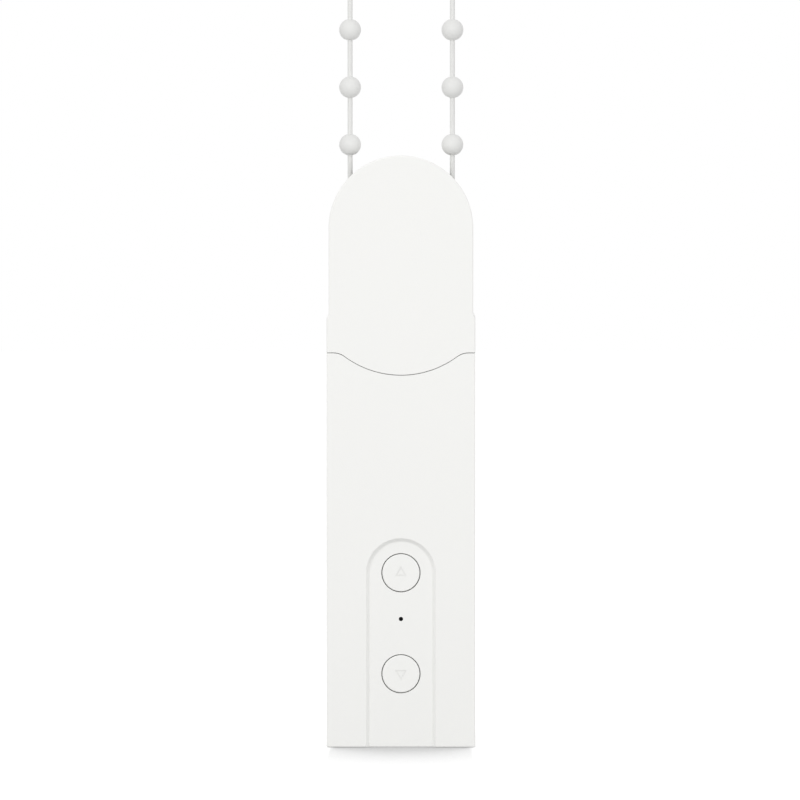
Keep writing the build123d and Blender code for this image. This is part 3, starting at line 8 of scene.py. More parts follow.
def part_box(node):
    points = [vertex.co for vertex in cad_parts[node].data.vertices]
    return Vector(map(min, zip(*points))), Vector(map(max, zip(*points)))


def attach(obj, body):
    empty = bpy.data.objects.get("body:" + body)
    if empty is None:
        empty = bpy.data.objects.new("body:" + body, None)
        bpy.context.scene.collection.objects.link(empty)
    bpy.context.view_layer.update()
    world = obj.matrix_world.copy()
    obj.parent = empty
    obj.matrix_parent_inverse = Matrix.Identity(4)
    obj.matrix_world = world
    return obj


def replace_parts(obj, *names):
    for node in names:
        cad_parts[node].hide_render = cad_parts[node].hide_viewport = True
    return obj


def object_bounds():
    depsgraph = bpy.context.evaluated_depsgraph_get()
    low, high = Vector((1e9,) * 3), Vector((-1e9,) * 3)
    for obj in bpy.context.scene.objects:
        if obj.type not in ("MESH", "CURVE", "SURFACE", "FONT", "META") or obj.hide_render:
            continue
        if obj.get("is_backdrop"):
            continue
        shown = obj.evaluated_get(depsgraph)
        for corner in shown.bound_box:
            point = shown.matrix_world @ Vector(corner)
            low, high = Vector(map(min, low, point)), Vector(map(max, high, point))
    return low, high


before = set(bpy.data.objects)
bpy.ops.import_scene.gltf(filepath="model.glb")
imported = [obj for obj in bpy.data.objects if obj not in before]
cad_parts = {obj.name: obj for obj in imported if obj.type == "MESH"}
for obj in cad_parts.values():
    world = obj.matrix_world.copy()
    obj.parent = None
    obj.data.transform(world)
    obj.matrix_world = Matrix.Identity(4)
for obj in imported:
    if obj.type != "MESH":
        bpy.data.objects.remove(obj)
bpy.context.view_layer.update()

# The view: a long lens looks at the front almost squarely, from a finger's breadth to the
# right and a little above, and the case is 149 of the picture's 800 pixels wide.
PICTURE_PIXELS = 800
PICTURE_SCALE = 0.0002083
VIEW_DISTANCE = 1.3
VIEW_RIGHT = radians(0.5)
VIEW_ABOVE = radians(2.0)
AIM_ACROSS = -0.00019
AIM_ABOVE_FOOT = 0.07252
SENSOR = 36.0

case_low, case_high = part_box("front_housing")
view_target = Vector((AIM_ACROSS, case_low.y, case_low.z + AIM_ABOVE_FOOT))
view_back = Vector((sin(VIEW_RIGHT) * cos(VIEW_ABOVE), -cos(VIEW_RIGHT) * cos(VIEW_ABOVE), sin(VIEW_ABOVE)))
camera = bpy.data.objects.new("camera", bpy.data.cameras.new("camera"))
camera.data.sensor_width = SENSOR
camera.data.lens = SENSOR * VIEW_DISTANCE / (PICTURE_PIXELS * PICTURE_SCALE)
camera.data.clip_start, camera.data.clip_end = 0.05, 20
camera.location = view_target + view_back * VIEW_DISTANCE
camera.rotation_mode = "QUATERNION"
camera.rotation_quaternion = (-view_back).to_track_quat("-Z", "Y")
bpy.context.scene.collection.objects.link(camera)
bpy.context.scene.camera = camera
bpy.context.scene.view_settings.view_transform = "Standard"


class Wire:
    """What one socket gives. Arithmetic on wires adds Math nodes, so a pattern reads as a sum."""

    def __init__(self, socket):
        self.socket = socket
        self.tree = socket.id_data

    def feed(self, inputs, values):
        """Gives a node's inputs their values, or links them where the value is a wire."""
        for name, value in values.items():
            if isinstance(value, Wire):
                self.tree.links.new(value.socket, inputs[name])
            else:
                inputs[name].default_value = value

    def node(self, kind, values, output=0, **settings):
        """Adds a node of a kind, sets it up, feeds it and returns one of its outputs."""
        made = self.tree.nodes.new("ShaderNode" + kind)
        for name, value in settings.items():
            setattr(made, name, value)
        self.feed(made.inputs, values)
        return Wire(made.outputs[output])

    def math(self, operation, first, second=0.0):
        return self.node("Math", {0: first, 1: second}, operation=operation)

    def __add__(self, other):
        return self.math("ADD", self, other)

    def __radd__(self, other):
        return self.math("ADD", other, self)

    def __sub__(self, other):
        return self.math("SUBTRACT", self, other)

    def __rsub__(self, other):
        return self.math("SUBTRACT", other, self)

    def __mul__(self, other):
        return self.math("MULTIPLY", self, other)

    def __rmul__(self, other):
        return self.math("MULTIPLY", other, self)

    def __truediv__(self, other):
        return self.math("DIVIDE", self, other)

    def __lt__(self, other):
        return self.math("LESS_THAN", self, other)

    def __gt__(self, other):
        return self.math("GREATER_THAN", self, other)

    def __or__(self, other):
        return self.math("MAXIMUM", self, other)

    def __abs__(self):
        return self.math("ABSOLUTE", self)


# The studio: a white floor under the object and soft white light from all round,
# a little stronger from the upper left. The white is full white only to the camera, in
# gloss and through clear pieces, and the floor darkens softly where the object stands.
FLOOR_GAP = 0.0001
FLOOR_HALF = 3.0
FLOOR_COLOUR = (0.30, 0.30, 0.30, 1)
FLOOR_LIGHT = 0.32
SEEN_FLOOR = (0.85, 0.85, 0.85)
FLOOR_IN_SHADE = (0.18, 0.18, 0.18)
SHADE_FROM = (0, 0.97, 0.24)
SHADE_REACH = 0.3
SHADE_SOFTNESS = 0.003
FLOOR_GLOW = 0.45
ROOM_LIGHT = 0.83
LAMPS = (
    ("key_lamp", (-0.16, -0.48, 0.24), 0.30, 0.62),
    ("fill_lamp", (0.18, -0.50, 0.04), 0.30, 0.34),
)


def seen_as_white(wire):
    """1 for the rays that are shown the white: the camera's, a gloss's and a clear piece's."""
    paths = [wire.node("LightPath", {}, "Is %s Ray" % ray) for ray in ("Camera", "Glossy", "Transmission")]
    return paths[0] | paths[1] | paths[2]


world = bpy.data.worlds.new("room")
bpy.context.scene.world = world
world.use_nodes = True
room_light = world.node_tree.nodes["Background"]
room_light.inputs["Color"].default_value = (1, 1, 1, 1)
room_light.inputs["Strength"].default_value = ROOM_LIGHT
room = Wire(room_light.outputs[0])
seen_white = room.node("Background", {"Color": (1, 1, 1, 1), "Strength": 1.0})
seen_room = room.node("MixShader", {0: seen_as_white(room), 1: room, 2: seen_white})
room.feed(world.node_tree.nodes["World Output"].inputs, {"Surface": seen_room})

for name, place, side, power in LAMPS:
    lamp = bpy.data.objects.new(name, bpy.data.lights.new(name, "AREA"))
    lamp.data.shape = "SQUARE"
    lamp.data.size = side
    lamp.data.energy = power
    lamp.location = place
    lamp.rotation_mode = "QUATERNION"
    lamp.rotation_quaternion = (view_target - Vector(place)).to_track_quat("-Z", "Y")
    bpy.context.scene.collection.objects.link(lamp)

floor_z = case_low.z - FLOOR_GAP
floor_corners = [(x * FLOOR_HALF, y * FLOOR_HALF, floor_z) for x, y in ((-1, -1), (1, -1), (1, 1), (-1, 1))]
floor_mesh = bpy.data.meshes.new("floor")
floor_mesh.from_pydata(floor_corners, [], [(0, 1, 2, 3)])
floor = bpy.data.objects.new("floor", floor_mesh)
bpy.context.scene.collection.objects.link(floor)
floor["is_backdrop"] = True
floor_paint = bpy.data.materials.new("floor_paint")
floor_paint.use_nodes = True
floor_shader = floor_paint.node_tree.nodes["Principled BSDF"]
floor_shader.inputs["Base Color"].default_value = FLOOR_COLOUR
floor_shader.inputs["Roughness"].default_value = 0.9
floor_shader.inputs["Specular IOR Level"].default_value = 0.1
floor_shader.inputs["Emission Color"].default_value = (1, 1, 1, 1)
floor_shader.inputs["Emission Strength"].default_value = FLOOR_LIGHT
lit_floor = Wire(floor_shader.outputs[0])
behind = lit_floor.node("CombineXYZ", dict(zip("XYZ", SHADE_FROM)))
openness = lit_floor.node("AmbientOcclusion", {"Distance": SHADE_REACH, "Normal": behind}, "AO")
across = abs(lit_floor.node("SeparateXYZ", {0: lit_floor.node("NewGeometry", {}, "Position")}, "X"))
beside = (across - case_high.x) / SHADE_SOFTNESS + 1
shades = {0: openness | beside, 6: (*FLOOR_IN_SHADE, 1), 7: (*SEEN_FLOOR, 1)}
floor_tone = lit_floor.node("Mix", shades, 2, data_type="RGBA")
white_floor = lit_floor.node("BsdfDiffuse", {"Color": floor_tone})
glow = lit_floor.node("Emission", {"Color": floor_tone, "Strength": FLOOR_GLOW})
glowing_floor = lit_floor.node("AddShader", {0: white_floor, 1: glow})
seen_floor = lit_floor.node("MixShader", {0: seen_as_white(lit_floor), 1: lit_floor, 2: glowing_floor})
lit_floor.feed(floor_paint.node_tree.nodes["Material Output"].inputs, {"Surface": seen_floor})
floor_mesh.materials.append(floor_paint)

# Wall bracket: a flat dovetail plate that is screwed to the wall. It is moulded in white,
# finely etched plastic, and the unit slides down onto it.
BRACKET_WHITE = (0.84, 0.84, 0.828)
BRACKET_SHADE = (0.815, 0.815, 0.803)


def surface(name):
    """A new material, its shader, and the wire of the place on the piece, in metres."""
    material = bpy.data.materials.new(name)
    material.use_nodes = True
    shader = material.node_tree.nodes["Principled BSDF"]
    places = material.node_tree.nodes.new("ShaderNodeTexCoord")
    return material, shader, Wire(places.outputs["Object"])


def grain(place, size, detail=2.0):
    """Noise from 0 to 1 whose lumps are this many metres across, or these along X, Y and Z."""
    sizes = size if isinstance(size, tuple) else (size, size, size)
    steps = place.node("VectorMath", {0: place, 1: [1 / s for s in sizes]}, operation="MULTIPLY")
    return place.node("TexNoise", {"Vector": steps, "Scale": 1.0, "Detail": detail}, "Fac")


def tint(place, factor, first, second):
    """The first colour where the factor is 0 and the second where it is 1."""
    first, second = [end if isinstance(end, Wire) else (*end, 1) for end in (first, second)]
    return place.node("Mix", {0: factor, 6: first, 7: second}, 2, data_type="RGBA")


def relief(place, height, depth):
    """A bump of this many metres from a height between 0 and 1."""
    return place.node("Bump", {"Height": height, "Distance": depth}, "Normal")


def moulded(name, light, dark, cloud_size, dullness, etching, etching_depth):
    """Moulded plastic: faint clouds of two near shades under a fine etched texture."""
    material, shader, place = surface(name)
    cloud = grain(place, cloud_size, 1.0)
    looks = {
        "Base Color": tint(place, cloud, dark, light),
        "Roughness": dullness + 0.08 * cloud,
        "Specular IOR Level": 0.4,
        "Normal": relief(place, grain(place, etching), etching_depth),
    }
    place.feed(shader.inputs, looks)
    return material


def dress(material, *names):
    """Gives CAD nodes this material."""
    for name in names:
        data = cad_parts[name].data
        data.materials.clear()
        data.materials.append(material)


bracket_paint = moulded(
    "bracket_plastic", BRACKET_WHITE, BRACKET_SHADE,
    cloud_size=0.006, dullness=0.5, etching=0.0003, etching_depth=0.00002,
)
dress(bracket_paint, "wall_bracket")

# Rear housing: the back shell of the case, over its whole height. It is moulded in white
# with a fine satin, like the two front pieces, and takes every other part.
CASE_WHITE = (0.887, 0.887, 0.868)
CASE_SHADE = (0.877, 0.877, 0.858)

case_paint = moulded(
    "case_plastic", CASE_WHITE, CASE_SHADE,
    cloud_size=0.02, dullness=0.46, etching=0.00022, etching_depth=0.00001,
)
dress(case_paint, "rear_housing")

# Battery cell: a steel can in a thin shrunk wrap that folds in over both ends and leaves
# the poles bare. It lies in the rear housing's cradle, on a foam pad at the foot.
WRAP_BLUE = (0.075, 0.27, 0.47)
WRAP_SHADE = (0.055, 0.22, 0.40)
POLE_STEEL = (0.66, 0.66, 0.65)
POLE_SHADE = (0.50, 0.50, 0.49)
WRAP_FOLD = 0.0022
POLE_CAP = 0.0011
CAN_FOOT = 0.0002
WRAP_SEAM_OUT = 0.4
WRAP_SEAM_HALF = 0.00035


def axis(place, letter):
    """One coordinate of a place, in metres in the object's own frame."""
    return place.node("SeparateXYZ", {0: place}, letter)


def reach(place, letters, centre):
    """How far a place is from a line that runs through a point, across these two axes."""
    first = axis(place, letters[0]) - centre["XYZ".index(letters[0])]
    second = axis(place, letters[1]) - centre["XYZ".index(letters[1])]
    return place.math("SQRT", first * first + second * second)


def middle(node):
    low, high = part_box(node)
    return (low + high) / 2


cell_low, cell_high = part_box("battery_cell")
cell_radius = (cell_high.x - cell_low.x) / 2
cell_paint, shader, place = surface("wrapped_cell")
from_core = reach(place, "XY", middle("battery_cell"))
height = axis(place, "Z")
ends = (height > cell_high.z - POLE_CAP) | (height < cell_low.z + CAN_FOOT)
bare = ends * (from_core < cell_radius - WRAP_FOLD)
seam = (abs(axis(place, "X") - WRAP_SEAM_OUT * cell_radius) < WRAP_SEAM_HALF) * (1 - bare)
wrap = tint(place, grain(place, 0.004, 1.0), WRAP_SHADE, WRAP_BLUE)
steel = tint(place, grain(place, (0.00008, 0.0015, 0.0015)), POLE_SHADE, POLE_STEEL)
looks = {
    "Base Color": tint(place, bare, wrap, steel),
    "Metallic": bare,
    "Roughness": 0.3 + 0.06 * grain(place, 0.001) - 0.04 * bare,
    "Coat Weight": 0.25 * (1 - bare),
    "Normal": relief(place, grain(place, 0.0009, 1.0) * 0.4 + seam, 0.00003),
}
place.feed(shader.inputs, looks)
dress(cell_paint, "battery_cell")

# Cell tabs: rolled nickel strip, spot-welded to the poles and folded up to the leads.
# The weld marks show as pairs of small round pits.
NICKEL_LIGHT = (0.74, 0.72, 0.68)
NICKEL_SHADE = (0.62, 0.60, 0.56)
WELD_RADIUS = 0.0005
WELD_SPACING = 0.0009

tab_paint, shader, place = surface("rolled_nickel")
weld = reach(place, "XY", middle("battery_cell") + Vector((WELD_SPACING, 0, 0))) < WELD_RADIUS
other_weld = reach(place, "XY", middle("battery_cell") - Vector((WELD_SPACING, 0, 0))) < WELD_RADIUS
welds = weld + other_weld
rolling = grain(place, (0.00006, 0.003, 0.003))
looks = {
    "Base Color": tint(place, rolling * (1 - 0.5 * welds), NICKEL_SHADE, NICKEL_LIGHT),
    "Metallic": 1.0,
    "Roughness": 0.3 + 0.1 * rolling + 0.2 * welds,
    "Normal": relief(place, rolling * 0.15 - welds, 0.00005),
}
place.feed(shader.inputs, looks)
dress(tab_paint, "battery_tabs")

# Foam pad: a die-cut block of black closed-cell foam under the cell. Fine open pits
# cover its faces, where the saw went through the cells.
FOAM_BLACK = (0.030, 0.030, 0.031)
FOAM_LIGHT = (0.070, 0.070, 0.072)
PITS_PER_METRE = 2200.0

foam_paint, shader, place = surface("cell_foam")
pits = place.node("TexVoronoi", {"Vector": place, "Scale": PITS_PER_METRE}, "Distance")
# The pits are painted darker than the cell walls round them: painted shade in the pits.
looks = {
    "Base Color": tint(place, pits, FOAM_BLACK, FOAM_LIGHT),
    "Roughness": 0.92,
    "Normal": relief(place, pits, 0.00012),
}
place.feed(shader.inputs, looks)
dress(foam_paint, "battery_pad")

# Leads: tinned wires in soft insulation, red to the one side and black to the other. The
# battery's run straight from the tabs to the board, and the motor's bend up from it.
LEAD_RED = (0.52, 0.035, 0.03)
LEAD_BLACK = (0.028, 0.028, 0.030)
SOLDER = (0.66, 0.66, 0.67)
BARE_END = 0.0005


def between(wire, low, high):
    """1 where a wire is between two values."""
    return (wire > low) * (wire < high)


def insulated(name, node, letter):
    """Two leads of a node, the red one on the higher side along an axis, with soldered ends."""
    material, shader, place = surface(name)
    low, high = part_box(node)
    red = axis(place, letter) > (low["XYZ".index(letter)] + high["XYZ".index(letter)]) / 2
    cover = 1 - between(axis(place, "Y"), low.y + BARE_END, high.y - BARE_END)
    rubber = tint(place, red, LEAD_BLACK, LEAD_RED)
    looks = {
        "Base Color": tint(place, cover, rubber, SOLDER),
        "Metallic": cover,
        "Roughness": 0.42 + 0.1 * grain(place, 0.0012) - 0.12 * cover,
        "Normal": relief(place, grain(place, 0.0005), 0.00002),
    }
    place.feed(shader.inputs, looks)
    dress(material, node)


insulated("battery_lead_cover", "battery_leads", "Z")
insulated("motor_lead_cover", "motor_leads", "X")

# Motor: a drawn, nickel-plated can with a moulded black end cap and two brass blades.
# Two screws through the gear frame's shelf hold it by its upper face.
CAN_LIGHT = (0.60, 0.605, 0.61)
CAN_SHADE = (0.47, 0.475, 0.48)
BRASS_LIGHT = (0.76, 0.58, 0.27)
BRASS_SHADE = (0.62, 0.44, 0.18)
CAP_BLACK = (0.036, 0.036, 0.038)
CAP_SHADE = (0.026, 0.026, 0.028)


def bare_metal(name, light, dark, dullness, marks, mark_depth):
    """Bare metal with tool marks; marks are the sizes of one mark along X, Y and Z."""
    material, shader, place = surface(name)
    mark = grain(place, marks)
    handling = grain(place, 0.003)
    looks = {
        "Base Color": tint(place, mark * 0.7 + handling * 0.3, dark, light),
        "Metallic": 1.0,
        "Roughness": dullness + 0.1 * handling + 0.05 * mark,
        "Normal": relief(place, mark, mark_depth),
    }
    place.feed(shader.inputs, looks)
    return material


can_plating = bare_metal(
    "nickelled_can", CAN_LIGHT, CAN_SHADE,
    dullness=0.26, marks=(0.0015, 0.0015, 0.0002), mark_depth=0.000006,
)
dress(can_plating, "motor_can")
blade_brass = bare_metal(
    "blade_brass", BRASS_LIGHT, BRASS_SHADE,
    dullness=0.3, marks=(0.0004, 0.0004, 0.002), mark_depth=0.000006,
)
dress(blade_brass, "motor_terminals")
cap_nylon = moulded(
    "end_cap_nylon", CAP_BLACK, CAP_SHADE,
    cloud_size=0.002, dullness=0.55, etching=0.00025, etching_depth=0.00003,
)
dress(cap_nylon, "motor_end_cap")

# Shaft and worm: a ground steel shaft with a turned brass worm pressed onto it, thinly
# greased. The worm drives the large ring of the reduction gear.
GROUND_LIGHT = (0.68, 0.68, 0.69)
GROUND_SHADE = (0.55, 0.55, 0.56)

ground_steel = bare_metal(
    "ground_steel", GROUND_LIGHT, GROUND_SHADE,
    dullness=0.2, marks=(0.0008, 0.0008, 0.00012), mark_depth=0.000003,
)
dress(ground_steel, "motor_shaft")
turned_brass = bare_metal(
    "turned_brass", BRASS_LIGHT, BRASS_SHADE,
    dullness=0.24, marks=(0.0012, 0.0012, 0.00009), mark_depth=0.000004,
)
dress(turned_brass, "worm")

# Gears: moulded in natural acetal, slightly waxy, with a round gate mark on the hub side
# and a film of grease over the teeth. Each turns on steel between frame and carrier.
ACETAL = (0.80, 0.785, 0.735)
ACETAL_SHADE = (0.755, 0.735, 0.675)
GREASED_ACETAL = (0.70, 0.66, 0.56)
GATES = 3
GATE_MARK = 0.0005
GATE_OUT = 0.62
GATE_TURN = 0.5
GREASE_BAND = 0.0013


def acetal_gear(name, node, pivot, greased):
    """A gear's plastic: waxy, with three gate marks round the hub and grease out at the teeth."""
    material, shader, place = surface(name)
    low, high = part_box(node)
    tip = (high.z - low.z) / 2
    from_pivot = reach(place, "XZ", pivot)
    gates = 0
    for k in range(GATES):
        turn = 2 * pi * k / GATES + GATE_TURN
        gate = pivot + Vector((cos(turn), 0, sin(turn))) * (GATE_OUT * tip)
        gates = gates + (reach(place, "XZ", gate) < GATE_MARK)
    film = greased * (from_pivot > tip - GREASE_BAND) * grain(place, 0.0011)
    flow = grain(place, 0.0035, 1.0)
    looks = {
        "Base Color": tint(place, film, tint(place, flow, ACETAL_SHADE, ACETAL), GREASED_ACETAL),
        "Roughness": 0.4 + 0.08 * flow - 0.2 * film,
        "Coat Weight": 0.4 * film,
        "Normal": relief(place, 0.12 * grain(place, 0.0003) - gates, 0.00006),
    }
    place.feed(shader.inputs, looks)
    dress(material, node)


acetal_gear("reduction_acetal", "reduction_gear", middle("reduction_axle"), greased=1.0)
acetal_gear("output_acetal", "output_gear", middle("drive_axle"), greased=1.0)

# Axles and bushes: ground steel pins, the large one in two sintered bronze bushes. The
# bronze is full of fine oil-dark pores.
BRONZE_LIGHT = (0.55, 0.37, 0.19)
BRONZE_PORE = (0.28, 0.17, 0.08)
PORES_PER_METRE = 3200.0
PORE_EDGE = 0.22

axle_steel = bare_metal(
    "axle_steel", GROUND_LIGHT, GROUND_SHADE,
    dullness=0.2, marks=(0.0008, 0.00012, 0.0008), mark_depth=0.000003,
)
dress(axle_steel, "reduction_axle", "drive_axle")
bush_paint, shader, place = surface("sintered_bronze")
from_pore = place.node("TexVoronoi", {"Vector": place, "Scale": PORES_PER_METRE}, "Distance")
solid = from_pore > PORE_EDGE
looks = {
    "Base Color": tint(place, solid * 0.8 + 0.2 * grain(place, 0.001), BRONZE_PORE, BRONZE_LIGHT),
    "Metallic": 0.9,
    "Roughness": 0.52 - 0.12 * from_pore,
    "Normal": relief(place, solid, 0.00002),
}
place.feed(shader.inputs, looks)
dress(bush_paint, "rear_bush", "front_bush")

# Gear frame and carrier plate: grey, glass-filled nylon, matt, with pale streaks where
# the melt flowed. They clamp the gear train between them with three long screws.
FRAME_GREY = (0.165, 0.172, 0.178)
FRAME_DARK = (0.125, 0.130, 0.135)
GLASS_FLECK = (0.26, 0.27, 0.275)
FLECK_FROM = 0.66

frame_paint, shader, place = surface("filled_nylon")
flow = grain(place, (0.006, 0.006, 0.0015), 4.0)
flecks = (grain(place, (0.00012, 0.00012, 0.0006)) > FLECK_FROM) * 0.5
looks = {
    "Base Color": tint(place, flecks, tint(place, flow, FRAME_DARK, FRAME_GREY), GLASS_FLECK),
    "Roughness": 0.58 + 0.1 * flow,
    "Specular IOR Level": 0.4,
    "Normal": relief(place, grain(place, 0.0002), 0.00004),
}
place.feed(shader.inputs, looks)
dress(frame_paint, "gear_frame", "carrier_plate")

# Screws: zinc-plated pan heads with a cross recess. Coarse threads cut their own way in
# plastic; the motor's two are fine machine screws.
ZINC_LIGHT = (0.60, 0.61, 0.63)
ZINC_SHADE = (0.47, 0.48, 0.50)
SCREW_SIDES = 32
RECESS_REACH = 0.56
RECESS_HALF = 0.13
RECESS_TAPER = 0.5
RECESS_DEPTH = 0.62
FLAT_SHARE = 0.72
RINGS_PER_TURN = 8
TIP_SHARE = 0.6
TIP_POINT = 0.45
TIP_SHOULDER = 0.9
THREAD_SLOPE = 2.6
SHARP_ANGLE = radians(38)

zinc = bare_metal(
    "zinc_plate", ZINC_LIGHT, ZINC_SHADE,
    dullness=0.27, marks=(0.0003, 0.0003, 0.0003), mark_depth=0.000003,
)


def separate_solids(node):
    """The lowest and highest corner of each solid in a CAD node, from left to right."""
    shape = bmesh.new()
    shape.from_mesh(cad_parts[node].data)
    bmesh.ops.remove_doubles(shape, verts=shape.verts, dist=1e-6)
    waiting = set(shape.verts)
    found = []
    while waiting:
        edge_of_search = [waiting.pop()]
        corners = []
        while edge_of_search:
            vertex = edge_of_search.pop()
            corners.append(vertex.co.copy())
            joined = {edge.other_vert(vertex) for edge in vertex.link_edges} & waiting
            waiting -= joined
            edge_of_search.extend(joined)
        low = Vector(min(c[i] for c in corners) for i in range(3))
        high = Vector(max(c[i] for c in corners) for i in range(3))
        found.append((low, high))
    shape.free()
    return sorted(found, key=lambda pair: tuple(round(value, 6) for value in pair[0]))


def turned(shape, profile, stand, sides, ripple=None):
    """Turns (radius, height) points about a stand's Z axis; ripple adds to a radius."""
    rings = []
    for radius, height in profile:
        ring = []
        for k in range(sides if radius > 0 else 1):
            turn = 2 * pi * k / sides
            out = radius + (ripple(turn, height) if ripple and radius > 0 else 0)
            ring.append(shape.verts.new(stand @ Vector((out * cos(turn), out * sin(turn), height))))
        rings.append(ring)
    for low, high in zip(rings, rings[1:]):
        for k in range(sides):
            under = (low[k % len(low)], low[(k + 1) % len(low)])
            over = (high[(k + 1) % len(high)], high[k % len(high)])
            shape.faces.new(list(dict.fromkeys(under + over)))
    return rings[-1]


def finished(shape, name, material, body):
    """Makes an object of a bmesh, in its place, riding on a body."""
    bmesh.ops.recalc_face_normals(shape, faces=shape.faces)
    mesh = bpy.data.meshes.new(name)
    shape.to_mesh(mesh)
    shape.free()
    mesh.materials.append(material)
    for face in mesh.polygons:
        face.use_smooth = True
    mesh.set_sharp_from_angle(angle=SHARP_ANGLE)
    piece = bpy.data.objects.new(name, mesh)
    bpy.context.scene.collection.objects.link(piece)
    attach(piece, body)
    return piece


def cross_recess(shape, rim, stand, radius, height, depth):
    """Closes a head's flat top round a cross-shaped hole that narrows down to its floor."""
    wing, half = RECESS_REACH * radius, RECESS_HALF * radius
    top, bottom = [], []
    for k in range(4):
        turn = Matrix.Rotation(k * pi / 2, 3, "Z")
        for x, y in ((wing, -half), (wing, half), (half, half)):
            corner = turn @ Vector((x, y, 0))
            lower = corner * RECESS_TAPER
            top.append(shape.verts.new(stand @ Vector((corner.x, corner.y, height))))
            bottom.append(shape.verts.new(stand @ Vector((lower.x, lower.y, height - depth))))
    for k in range(len(top)):
        after = (k + 1) % len(top)
        shape.faces.new((top[k], top[after], bottom[after], bottom[k]))
    shape.faces.new(bottom)
    edges = []
    for loop in (rim, top):
        edges += [shape.edges.get(pair) for pair in zip(loop, loop[1:] + loop[:1])]
    bmesh.ops.triangle_fill(shape, use_beauty=True, use_dissolve=False, edges=edges)


def screws(node, up, head_height, radius, thread_length, pitch, depth):
    """Draws each screw of a CAD node: a pan head, a plain shank and a helical thread."""
    shape = bmesh.new()
    for low, high in separate_solids(node):
        centre, span = (low + high) / 2, high - low
        length = max(span) - head_height
        head_radius = min(span) / 2
        seat = centre + up * (length - head_height) / 2
        stand = Matrix.Translation(seat) @ up.to_track_quat("Z", "Y").to_matrix().to_4x4()
        pan = [(0, 0), (0.96, 0), (1, 0.06), (1, 0.5), (0.95, 0.76), (0.84, 0.94), (FLAT_SHARE, 1)]
        profile = [(share * head_radius, rise * head_height) for share, rise in pan]
        rim = turned(shape, profile, stand, SCREW_SIDES)
        cross_recess(shape, rim, stand, head_radius, head_height, RECESS_DEPTH * head_height)
        tip = TIP_SHARE * radius
        turns = round((thread_length - tip) / pitch * RINGS_PER_TURN)
        shank = [(0, -length), (TIP_POINT * radius, -length), (TIP_SHOULDER * radius, -length + tip)]
        for k in range(1, turns + 1):
            shank.append((radius, -length + tip + (thread_length - tip) * k / turns))
        shank += [(radius, -length + thread_length + depth), (radius, 0), (0, 0)]

        def thread(turn, z, foot=-length + tip, head=-length + thread_length):
            """How far the thread's groove takes the surface back at this turn and height."""
            if not foot <= z <= head:
                return 0
            phase = (z / pitch - turn / (2 * pi)) % 1
            return -depth * min(1, THREAD_SLOPE * abs(phase - 0.5))

        turned(shape, shank, stand, SCREW_SIDES, thread)
    piece = finished(shape, node + "_cut", zinc, "motor_unit")
    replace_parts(piece, node)


# Each line: the way the heads face, the head's height, then the shank's radius, and the
# thread's length, pitch and depth.
forward, backward, upward = Vector((0, -1, 0)), Vector((0, 1, 0)), Vector((0, 0, 1))
screws("gear_screws", forward, 0.0011, 0.0008, 0.0052, 0.0007, 0.00018)
screws("housing_screws", backward, 0.0015, 0.0010, 0.0075, 0.0009, 0.00024)
screws("board_screws", backward, 0.0008, 0.0007, 0.0028, 0.0006, 0.00016)
screws("motor_screws", upward, 0.0012, 0.0008, 0.0034, 0.0004, 0.00012)

# Control board: glass-epoxy sheet with green mask on both faces and bare tan edges. Copper
# runs show as paler lines under the mask. The leads are soldered to tinned pads at the back.
MASK_GREEN = (0.018, 0.135, 0.055)
RUN_GREEN = (0.035, 0.205, 0.085)
EPOXY_TAN = (0.38, 0.31, 0.15)
PAD_TIN = (0.50, 0.50, 0.48)
INK_WHITE = (0.74, 0.74, 0.72)
RUN_PITCH = 0.0009
RUN_SHARE = 0.34
RUNS_FROM = 0.42
VIA_PITCH = 0.0023
VIA_RADIUS = 0.00030
VIA_SHARE = 0.4
PAD_RADIUS = 0.0009
INK_WIDTH = 0.00014
INK_ROOM = 0.0004
EDGE_SHOWS = 0.00004

board_low, board_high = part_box("control_board")
board_paint, shader, place = surface("circuit_board")
x, z = axis(place, "X"), axis(place, "Z")
upright = place.math("FRACT", x / RUN_PITCH) < RUN_SHARE
level = place.math("FRACT", z / RUN_PITCH) < RUN_SHARE
district = grain(place, 0.008, 0.0) > 0.5
runs = upright * district + level * (1 - district)
runs = runs * (grain(place, 0.005, 0.0) > RUNS_FROM)
via_x = (place.math("FRACT", x / VIA_PITCH) - 0.5) * VIA_PITCH
via_z = (place.math("FRACT", z / VIA_PITCH) - 0.5) * VIA_PITCH
from_via = place.math("SQRT", via_x * via_x + via_z * via_z)
cell = {"X": place.math("FLOOR", x / VIA_PITCH), "Z": place.math("FLOOR", z / VIA_PITCH)}
lot = place.node("TexWhiteNoise", {"Vector": place.node("CombineXYZ", cell)}, "Value", noise_dimensions="3D")
vias = (from_via < VIA_RADIUS) * (lot < VIA_SHARE)
joints = 0
for node in ("battery_leads", "motor_leads"):
    for low, high in separate_solids(node):
        landing = Vector(((low.x + high.x) / 2, high.y, low.z + (high.x - low.x) / 2))
        joints = joints + (reach(place, "XZ", landing) < PAD_RADIUS)
on_back = axis(place, "Y") > (board_low.y + board_high.y) / 2
pads = vias | joints * on_back
ink = 0
for node in ("up_switch", "down_switch", "radio_module"):
    low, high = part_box(node)
    off_x = abs(x - (low.x + high.x) / 2) - (high.x - low.x) / 2
    off_z = abs(z - (low.z + high.z) / 2) - (high.z - low.z) / 2
    ink = ink + between(off_x | off_z, INK_ROOM, INK_ROOM + INK_WIDTH)
inside_x = between(x, board_low.x + EDGE_SHOWS, board_high.x - EDGE_SHOWS)
inside_z = between(z, board_low.z + EDGE_SHOWS, board_high.z - EDGE_SHOWS)
edge = 1 - inside_x * inside_z
colour = tint(place, runs, MASK_GREEN, RUN_GREEN)
colour = tint(place, ink * (1 - pads), colour, INK_WHITE)
colour = tint(place, pads, colour, PAD_TIN)
